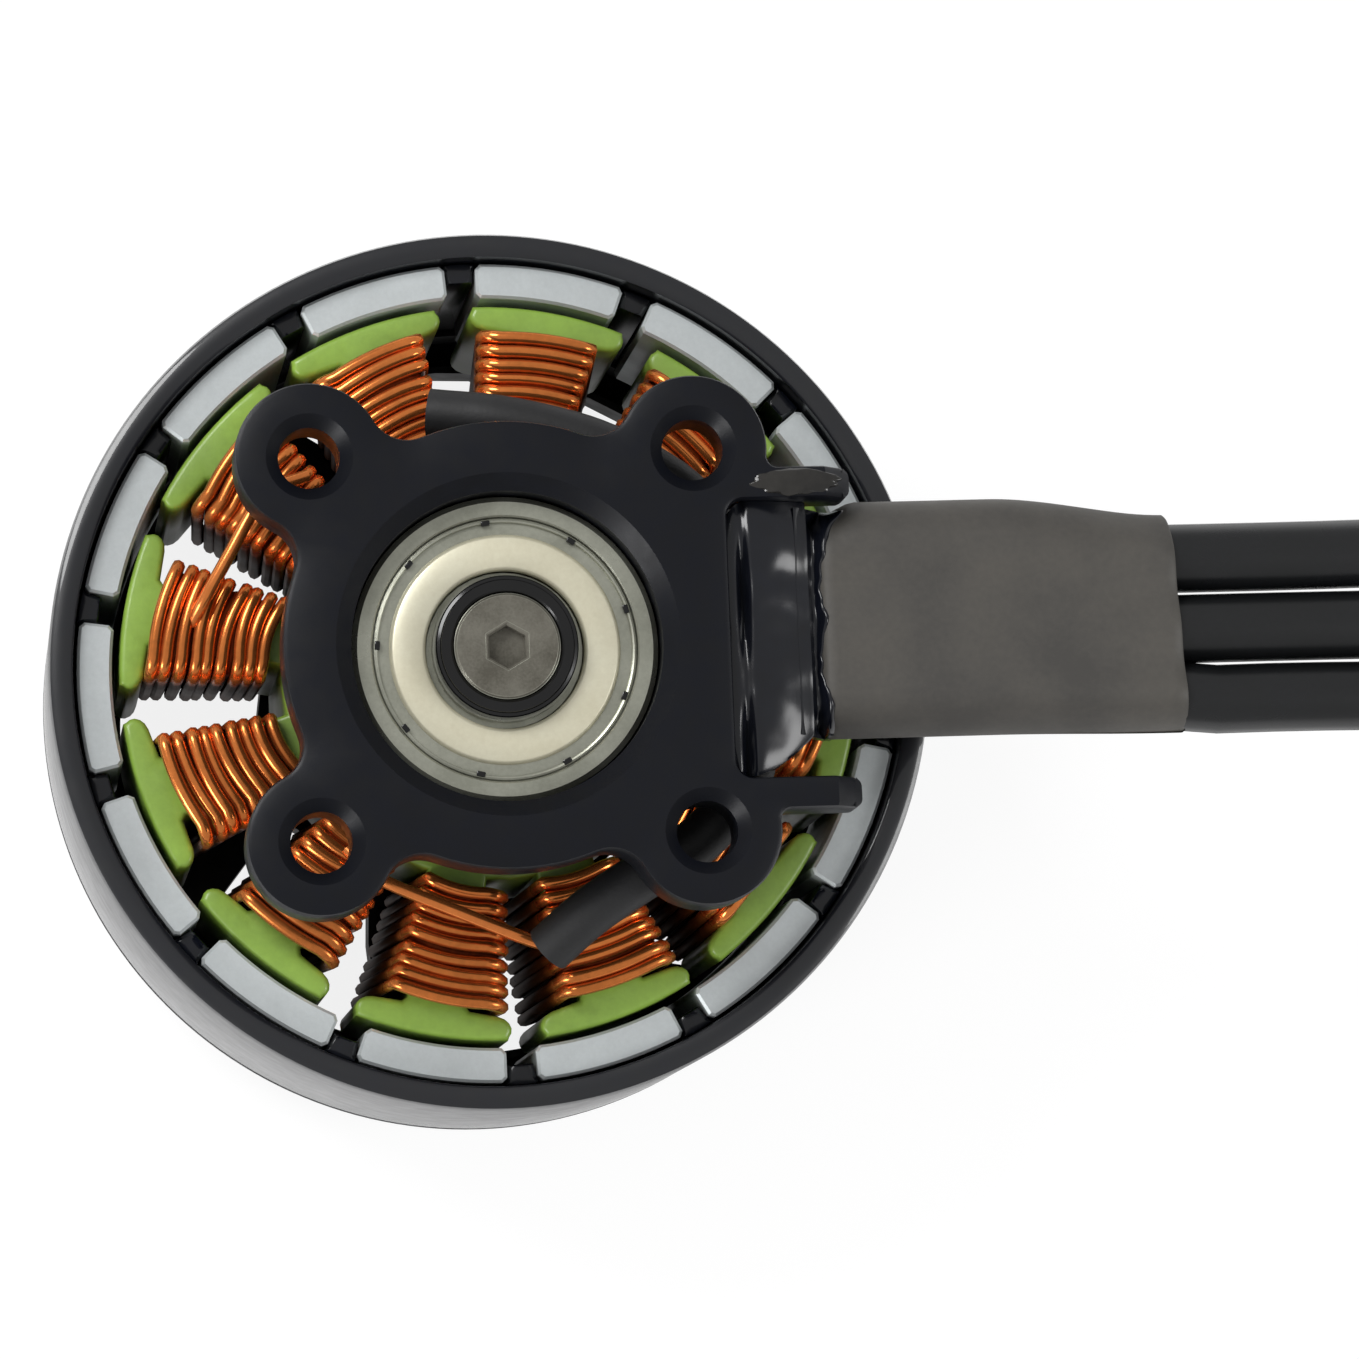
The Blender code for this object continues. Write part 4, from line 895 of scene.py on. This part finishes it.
class MOTOR_OT_magnets(bpy.types.Operator):
    """Sets the fourteen magnets in the ring, with black glue between them"""

    bl_idname = "motor.magnets"
    bl_label = "Magnets"

    def execute(self, context):
        gap = context.scene.motor_sizes.magnet_gap
        pitch = 2 * math.pi / POLES
        low, high = foot_of("magnet_01"), top_of("magnet_01")
        half = (pitch - gap) / 2
        inside, outside = MAGNET_INSIDE, MAGNET_OUTSIDE
        magnets, glue = bmesh.new(), bmesh.new()
        for i in range(POLES):
            middle = MAGNET_PHASE + i * pitch
            first, last = middle - half, middle + half
            outline = arc(outside, first + CORNER_TURN, last - CORNER_TURN, 12)
            outline += [polar(outside * OUTER_CUT, last), polar(inside * INNER_CUT, last)]
            outline += arc(inside, last - CORNER_TURN, first + CORNER_TURN, 12)
            outline += [polar(inside * INNER_CUT, first), polar(outside * OUTER_CUT, first)]
            prism(magnets, outline, low, high, MAGNET_EDGE, 1)
            between = middle + pitch / 2
            wide = gap / 2 * 1.04
            blob = arc(BELL_R - RING_WALL - 0.05 * MM, between - wide, between + wide, 3)
            blob += arc(GLUE_INSIDE, between + wide * 0.8, between - wide * 0.8, 3)
            prism(glue, blob, low, high - (0.5 + 0.5 * (i % 3) / 3) * MM, GLUE_EDGE, 2)
        nodes = [f"magnet_{i:02d}" for i in range(1, POLES + 1)]
        dress("magnet_set", magnets, "nickel", "rotor", nodes, 25)
        dress("magnet_glue", glue, "potting", "rotor")
        return {"FINISHED"}


# Sections in millimetres from the axis and above the bearing's face
OUTER_RING_FACE = ((7.35, -0.35), (7.38, -0.08), (7.46, 0.0), (8.2, 0.0), (8.5, -0.3))
SHIELD_DISC = (
    (6.42, -0.40), (6.30, -0.22), (6.18, -0.16), (4.62, -0.15), (4.46, -0.20),
    (4.40, -0.34), (4.40, -0.65), (4.6, -0.65), (6.42, -0.66),
)
SHIELD_RIM = ((7.34, -0.42), (7.34, -0.66), (6.42, -0.66), (6.42, -0.40), (6.9, -0.42))
CLIP_WIRE = circle(0.13, 8, (7.18, -0.27))
# The pits behind the clip, drawn as black blocks of painted shade: how many, the angle of the first in
# degrees, and their size
NOTCHES = 9
NOTCH_PHASE = 97
NOTCH_SIZE = (0.30 * MM, 0.5 * MM, 0.3 * MM, 1)


class MOTOR_OT_bearing(bpy.types.Operator):
    """Makes the base bearing's outer ring, its shield and the shield's wire clip"""

    bl_idname = "motor.bearing"
    bl_label = "Bearing"

    def execute(self, context):
        ring = millimetres(OUTER_RING_FACE, BEARING_FACE)
        low = foot_of("base_bearing_outer_ring")
        ring = [(ring[0][0], low)] + ring + [(ring[-1][0], low)]
        nodes = ("base_bearing_outer_ring",)
        dress("bearing_ring", turned(ring, 128), "bearing", "stator", nodes)
        disc = turned(millimetres(SHIELD_DISC, BEARING_FACE), 128)
        nodes = ("base_bearing_shield_top",)
        dress("bearing_shield", disc, "shield", "stator", nodes, 50)
        rim = turned(millimetres(SHIELD_RIM, BEARING_FACE), 128)
        dress("shield_rim", rim, "bearing", "stator", (), 50)
        clip = turned(millimetres(CLIP_WIRE, BEARING_FACE), 128)
        dress("bearing_clip", clip, "bearing", "stator")
        # Painted shade: black blocks fill the pits behind the clip, whose real hollows are dark only from
        # shade
        pits = bmesh.new()
        for i in range(NOTCHES):
            turn = Matrix.Rotation(math.radians(NOTCH_PHASE + i * 360 / NOTCHES), 4, "Z")
            place = turn @ Matrix.Translation((7.08 * MM, 0, BEARING_FACE - 0.22 * MM))
            made = bmesh.ops.create_cube(pits, size=1.0, matrix=place @ Matrix.Diagonal(NOTCH_SIZE))
            bevel(pits, list({e for v in made["verts"] for e in v.link_edges}), 0.06 * MM, 2)
        dress("clip_notch_shade", pits, "washer", "stator")
        for name in ("base_bearing_inner_ring", "bell_bearing_inner_ring", "bell_bearing_outer_ring"):
            dress_node(name, "bearing")
        for name in ("base_bearing_shield_bottom", "bell_bearing_shield_top", "bell_bearing_shield_bottom"):
            dress_node(name, "shield")
        return {"FINISHED"}


# Radii of the screw's head at its flat and at its widest, and the width of its hexagon over flats
HEAD_FLAT_R = 2.84 * MM
HEAD_R = 2.95 * MM
SOCKET_FLATS = 2.2 * MM

# For each rim of the screw's head: growth of the outline and drop in millimetres, step by step
HEAD_STEPS = ((HEAD_R / HEAD_FLAT_R, -0.1), (1.0, -0.8))
SOCKET_STEPS = ((0.91, -0.1), (1.0, -1.0))


# Upper side of the washer's section, in millimetres from the axis and above its face
WASHER_FACE = (
    (3.95, -0.28), (3.88, -0.2), (3.72, -0.14), (3.66, 0.0), (3.14, 0.0), (3.02, -0.12), (3.0, -0.5),
)


def polished_edges(outlines, top):
    """Thin bright bands on rubbed rims, each between two growths of an outline."""
    bands = bmesh.new()
    for outline, level, slope in outlines:
        rings = [
            [bands.verts.new((x * grow, y * grow, top + drop * MM)) for x, y in outline]
            for grow, drop in ((level, 0.008), (slope, -0.085))
        ]
        for i in range(len(outline)):
            j = (i + 1) % len(outline)
            quad = (rings[0][i], rings[1][i], rings[1][j], rings[0][j])
            bands.faces.new(quad if slope > level else quad[::-1])
    lift(bands, bands.faces[:], -0.05 * MM)
    return bands


class MOTOR_OT_shaft_end(bpy.types.Operator):
    """Finishes the shaft, the washer and the hexagon socket screw"""

    bl_idname = "motor.shaft_end"
    bl_label = "Shaft end"

    def execute(self, context):
        dress_node("shaft", "shaft")
        top = top_of("shaft_screw")
        bm = bmesh.new()
        round_rim = circle(HEAD_FLAT_R, 64)
        socket_rim = [polar(SOCKET_FLATS / math.sqrt(3), math.pi / 6 + i * math.pi / 3) for i in range(6)]
        loops = []
        for outline in (round_rim, socket_rim):
            ring = [bm.verts.new((x, y, top)) for x, y in outline]
            loops.append([bm.edges.new(pair) for pair in zip(ring, ring[1:] + ring[:1])])
        bmesh.ops.triangle_fill(bm, use_beauty=True, edges=loops[0] + loops[1])
        for edges, steps in zip(loops, (HEAD_STEPS, SOCKET_STEPS)):
            for grow, drop in steps:
                made = bmesh.ops.extrude_edge_only(bm, edges=edges)["geom"]
                verts = {g for g in made if isinstance(g, bmesh.types.BMVert)}
                for v in verts:
                    v.co = (v.co.x * grow, v.co.y * grow, v.co.z + drop * MM)
                edges = [g for g in made if isinstance(g, bmesh.types.BMEdge) and verts.issuperset(g.verts)]
            bmesh.ops.edgeloop_fill(bm, edges=edges)
        dress("socket_screw", bm, "screw", "rotor", ("shaft_screw",), 25)
        bands = polished_edges(((round_rim, 0.984, 1.037), (socket_rim, 1.1, 0.93)), top)
        dress("screw_edges", bands, "bearing", "rotor", (), 25)
        foot, face = foot_of("shaft_washer"), top_of("shaft_washer")
        section = [(3.0 * MM, foot), (3.85 * MM, foot), (3.95 * MM, foot + 0.1 * MM)]
        washer = turned(section + millimetres(WASHER_FACE, face), 96)
        dress("screw_washer", washer, "washer", "rotor", ("shaft_washer",), 25)
        return {"FINISHED"}


# Sections of the heat-shrink along X: place, middle, half width and half height in millimetres
SHRINK_STATIONS = (
    (17.2, 1.0, 5.5, 1.85),
    (18.0, 1.0, 6.3, 2.65),
    (20.0, 1.35, 6.65, 2.65),
    (27.55, 1.35, 6.65, 2.65),
    (37.9, 0.717, 6.2, 2.425),
)
SHRINK_START = SHRINK_STATIONS[0][0] * MM
SHRINK_END = SHRINK_STATIONS[-1][0] * MM


def shrink_at(x):
    """Middle, half width and half height of the heat-shrink at a place along X, in metres."""
    x = min(max(x, SHRINK_START), SHRINK_END) / MM
    for before, after in zip(SHRINK_STATIONS, SHRINK_STATIONS[1:]):
        if x <= after[0]:
            break
    share = (x - before[0]) / (after[0] - before[0])
    share = share * share * (3 - 2 * share)
    return [(a + (b - a) * share) * MM for a, b in zip(before[1:], after[1:])]


def shrink_roof(x, y):
    """Height of the heat-shrink's upper side."""
    middle, wide, tall = shrink_at(x)
    off = max(0.0, abs(y - middle) - (wide - tall))
    return LEAD_Z * MM + math.sqrt(max(tall**2 - off**2, 0.0))


# Routes of the sleeves in millimetres, with their heights measured from the middle of the tails
SLEEVE_R = 1.4 * MM
SLEEVE_Z = 29.3
SLEEVE_ROUTES = {
    "winding_sleeve_1": (
        (-3.4, 14.0, -1.21), (1.0, 13.3, -0.33), (6.0, 11.8, 0), (10.4, 9.2, 0), (13.4, 5.6, 0),
    ),
    "winding_sleeve_2": (
        (2.2, -16.3, -1.76), (4.5, -14.4, -0.55), (7.5, -12.5, 0), (10.7, -10.6, 0), (13.4, -7.6, 0),
        (14.3, -4.0, 0),
    ),
    "winding_sleeve_3": ((17.6, 1.2, -2.97), (16.6, 1.0, -1.32), (14.6, 0.6, -0.22), (12.6, 0.4, 0)),
}

# The poured epoxy keeps this gap to the notch, and its tongue starts this far out along X
NOTCH_GAP = 0.03 * MM
TONGUE_START = 16.2 * MM


def glue_top(x, y):
    """Height of the poured epoxy: pillows in the notch that thin out towards the heat-shrink."""
    low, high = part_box("potting")
    u = min((x - low[0]) / (high[0] - low[0]), 1.0)
    pillow = noise.noise(Vector((x * 0.7, y, 0.02)) * 340) * 0.5 + 0.5
    ripple = noise.noise(Vector((x, y, 0.05)) * 900) * 0.03
    groove = 0.8 * math.exp(-((u - 0.13) ** 2) / 0.004) * (0.6 + 0.4 * math.sin(y * 700))
    return high[2] - (1.1 * u * u + 0.6 * pillow + ripple + max(groove, 0.0)) * MM


def potting_pour():
    """The epoxy in the notch, which fills its corners and draws back from the lower arm."""
    bm = bmesh.new()
    bmesh.ops.create_grid(bm, x_segments=44, y_segments=90, size=0.5)
    low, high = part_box("potting")
    for v in bm.verts:
        u, w = v.co.x + 0.5, v.co.y + 0.5
        x = NOTCH_X + NOTCH_GAP + (high[0] - NOTCH_X) * u
        corner = 0.9 * NOTCH_ROUND * (1 - min(1.0, u * 4.2)) ** 2.2
        side = NOTCH_HALF - NOTCH_GAP - corner
        near = 2.4 * MM * u * u - side
        y = near + (side - near) * w
        v.co = (x, y, glue_top(x, y) - 0.25 * MM * abs(2 * w - 1) ** 9)
    for v in lift(bm, bm.faces[:], 0.0):
        v.co.z = low[2]
    return bm


def glue_tongue():
    """The same epoxy where it runs up on the heat-shrink and ends in a ragged line."""
    bm = bmesh.new()
    bmesh.ops.create_grid(bm, x_segments=50, y_segments=90, size=0.5)
    for v in bm.verts:
        u, w = v.co.x + 0.5, v.co.y + 0.5
        y = (-5.3 + 12.7 * w) * MM
        ragged = 0.45 * noise.noise(Vector((y * 420, 5.0, 0))) + 0.2 * noise.noise(Vector((y * 1300, 2.0, 0)))
        corner = 1.5 * max(0.0, (w - 0.66) / 0.34) ** 2 + 0.6 * max(0.0, (0.22 - w) / 0.22)
        front = (17.75 + corner + ragged) * MM
        x = TONGUE_START + (front - TONGUE_START) * u
        roof = shrink_roof(x, y)
        share = min(u / 0.85, 1.0)
        share = share * share * (3 - 2 * share)
        sunk = max(0.0, (u - 0.85) / 0.15) ** 2
        z = glue_top(x, y) * (1 - share) + (roof + 0.14 * MM) * share
        z = max(z, roof + 0.08 * MM) - 0.24 * MM * sunk
        v.co = (x, y, z + 0.01 * MM * (1 - u))
    lift(bm, bm.faces[:], -0.9 * MM)
    return bm


class MOTOR_OT_insulation(bpy.types.Operator):
    """Makes the sleeves on the winding tails and the potting in the notch"""

    bl_idname = "motor.insulation"
    bl_label = "Sleeves and potting"

    def execute(self, context):
        for name, route in SLEEVE_ROUTES.items():
            curve = wire_curve(name + "_tube", SLEEVE_R, 6, "sleeve")
            route = [(x * MM, y * MM, (SLEEVE_Z + z) * MM) for x, y, z in route]
            add_line(curve, smooth_line(route, 0.8 * MM))
            place_piece(name + "_tube", curve, "stator", (name,))
        dress("potting_mass", potting_pour(), "potting", "stator", ("potting",), 60)
        dress("glue_smear", glue_tongue(), "potting", "stator", (), 60)
        return {"FINISHED"}


# The flat oval's round ends, step by step, and the rounding of the heat-shrink's mouth
ROUND_END = [math.radians(a) for a in range(-90, 91, 9)]
SHRINK_ROUND = 0.8 * MM


def shrink_ring(bm, x, wall=0.0):
    """One section of the heat-shrink, drawn in a little between the leads."""
    middle, wide, tall = shrink_at(x)
    wide, tall = wide - wall, tall - wall
    section = []
    for side in (1, -1):
        flat = side * (wide - tall)
        section += [(flat + side * tall * math.cos(a), side * tall * math.sin(a)) for a in ROUND_END]
        section += [(flat * (1 - i / 10), side * tall) for i in range(1, 20)]
    end_share = max(0.0, (x / MM - 26) / 12)
    grown = min(1.0, (x - SHRINK_START) / (2 * MM))
    ring = []
    for y, z in section:
        off_lead = 0.5 - 0.5 * math.cos(2 * math.pi * (y + middle - LEAD_Y * MM) / (LEAD_PITCH * MM))
        dip = (0.06 + 0.26 * end_share) * MM * off_lead
        fold = noise.noise(Vector((x * 160, y * 300, z * 200))) * 0.10 * MM * grown
        back = 0.3 * MM * y / wide * max(0.0, x / MM - 34) / 3.9
        height = LEAD_Z * MM + z - math.copysign(1, z) * min(dip - fold, tall / 2)
        ring.append(bm.verts.new((x - back, middle + y, height)))
    return ring


class MOTOR_OT_shrink(bpy.types.Operator):
    """Shrinks the sleeve over the three leads"""

    bl_idname = "motor.shrink"
    bl_label = "Heat-shrink"

    def execute(self, context):
        bm = bmesh.new()
        full = SHRINK_START + SHRINK_ROUND
        places = [SHRINK_START + SHRINK_ROUND * (1 - math.cos(i * math.pi / 10)) for i in range(6)]
        places += [full + (SHRINK_END - full - 0.15 * MM) * i / 40 for i in range(1, 41)]
        rings = [shrink_ring(bm, x) for x in places]
        rings += [shrink_ring(bm, SHRINK_END, 0.12 * MM), shrink_ring(bm, SHRINK_END, 0.40 * MM)]
        rings.append(shrink_ring(bm, SHRINK_END - 1.3 * MM, 0.45 * MM))
        for ring in rings:
            for pair in zip(ring, ring[1:] + ring[:1]):
                bm.edges.new(pair)
        for a, b in zip(rings, rings[1:]):
            edges = [bm.edges.get(p) for r in (a, b) for p in zip(r, r[1:] + r[:1])]
            bmesh.ops.bridge_loops(bm, edges=edges)
        bm.faces.new(rings[0])
        bm.faces.new(rings[-1])
        dress("shrink_sleeve", bm, "shrink", "stator", ("lead_shrink",), 50)
        return {"FINISHED"}


# Soft round lamps: name, place, aim, width and watts
LAMPS = (
    ("key", (-0.50, 0.46, 0.72), (0, 0, 0.02), 0.45, 5.6),
    ("side", (-0.62, -0.40, 0.30), (0, 0, 0.012), 0.30, 2.6),
    ("right", (0.60, -0.15, 0.45), (0, 0, 0.03), 0.30, 1.6),
)
# The floor's share of plain white as the camera sees it, and as the motor mirrors it
FLOOR_SEEN = 0.80
FLOOR_MIRRORED = 0.25


def lamp(name, place, aim, width, watts):
    """Hangs one round lamp that faces its aim."""
    data = bpy.data.lights.new(name, "AREA")
    data.shape = "DISK"
    data.size = width
    data.energy = watts
    obj = add_object(name, data)
    obj.location = place
    obj.rotation_euler = (Vector(aim) - Vector(place)).to_track_quat("-Z", "Y").to_euler()


class MOTOR_OT_stage(bpy.types.Operator):
    """Lays the white floor and hangs the soft lamps"""

    bl_idname = "motor.stage"
    bl_label = "Stage"

    def execute(self, context):
        bm = bmesh.new()
        bmesh.ops.create_grid(bm, x_segments=1, y_segments=1, size=3.0)
        bmesh.ops.translate(bm, verts=bm.verts, vec=(0, 0, -0.2 * MM))
        mesh = bpy.data.meshes.new("floor")
        bm.to_mesh(mesh)
        bm.free()
        floor = add_object("floor", mesh)
        # White paper: a dull white that keeps the shadow, mixed with plain white where the camera sees it
        mat = bpy.data.materials.new("white_paper")
        mat.use_nodes = True
        tree = mat.node_tree
        shader = tree.nodes["Principled BSDF"]
        shader.inputs["Base Color"].default_value = (*srgb("#F2F2F2"), 1)
        shader.inputs["Roughness"].default_value = 0.9
        glow = add_node(tree, "Emission", {"Color": (1, 1, 1, 1), "Strength": 1.08})
        path = add_node(tree, "LightPath", {}).outputs
        rays = {0: path["Is Camera Ray"], 1: path["Is Transmission Ray"]}
        seen = add_node(tree, "Math", {"operation": "MAXIMUM", **rays})
        seen_share = add_node(tree, "Math", {"operation": "MULTIPLY", 0: seen, 1: FLOOR_SEEN})
        glossy = path["Is Glossy Ray"]
        mirrored = add_node(tree, "Math", {"operation": "MULTIPLY", 0: glossy, 1: FLOOR_MIRRORED})
        share = add_node(tree, "Math", {"operation": "MAXIMUM", 0: seen_share, 1: mirrored})
        mix = add_node(tree, "MixShader", {0: share, 1: shader, 2: glow})
        tree.links.new(mix.outputs[0], tree.nodes["Material Output"].inputs["Surface"])
        mesh.materials.append(mat)
        world = bpy.data.worlds.new("room")
        world.use_nodes = True
        context.scene.world = world
        background = world.node_tree.nodes["Background"]
        background.inputs["Color"].default_value = (1, 1, 1, 1)
        # The camera sees a white room, and the motor is lit at half of that
        seen = add_node(world.node_tree, "LightPath", {}).outputs["Is Camera Ray"]
        level = add_node(world.node_tree, "Math", {"operation": "MULTIPLY_ADD", 0: seen, 1: 0.5, 2: 0.5})
        world.node_tree.links.new(level.outputs[0], background.inputs["Strength"])
        for values in LAMPS:
            lamp(*values)
        context.scene.view_settings.view_transform = "Standard"
        return {"FINISHED"}


STEPS = (
    MOTOR_OT_camera,
    MOTOR_OT_leads,
    MOTOR_OT_base,
    MOTOR_OT_stator,
    MOTOR_OT_windings,
    MOTOR_OT_bell,
    MOTOR_OT_magnets,
    MOTOR_OT_bearing,
    MOTOR_OT_shaft_end,
    MOTOR_OT_insulation,
    MOTOR_OT_shrink,
    MOTOR_OT_stage,
)


class MOTOR_PT_panel(bpy.types.Panel):
    """Lists the motor's pieces in the sidebar"""

    bl_idname = "MOTOR_PT_panel"
    bl_label = "Outrunner motor"
    bl_space_type = "VIEW_3D"
    bl_region_type = "UI"
    bl_category = "Motor"

    def draw(self, context):
        for group in (context.scene.motor_sizes, context.scene.motor_colours):
            for name in group.__annotations__:
                self.layout.prop(group, name)
        for step in STEPS:
            self.layout.operator(step.bl_idname)


CLASSES = (MotorSizes, MotorColours, *STEPS, MOTOR_PT_panel)


def register():
    """Makes the panel, its operators and their values known."""
    for cls in CLASSES:
        bpy.utils.register_class(cls)
    bpy.types.Scene.motor_sizes = PointerProperty(type=MotorSizes)
    bpy.types.Scene.motor_colours = PointerProperty(type=MotorColours)


def unregister():
    """Takes them away again."""
    del bpy.types.Scene.motor_colours
    del bpy.types.Scene.motor_sizes
    for cls in reversed(CLASSES):
        bpy.utils.unregister_class(cls)


def main():
    """Builds the motor's looks piece by piece."""
    register()
    MATERIALS.update(make_materials())
    for step in STEPS:
        group, name = step.bl_idname.split(".")
        getattr(getattr(bpy.ops, group), name)()


if __name__ == "__main__":
    main()
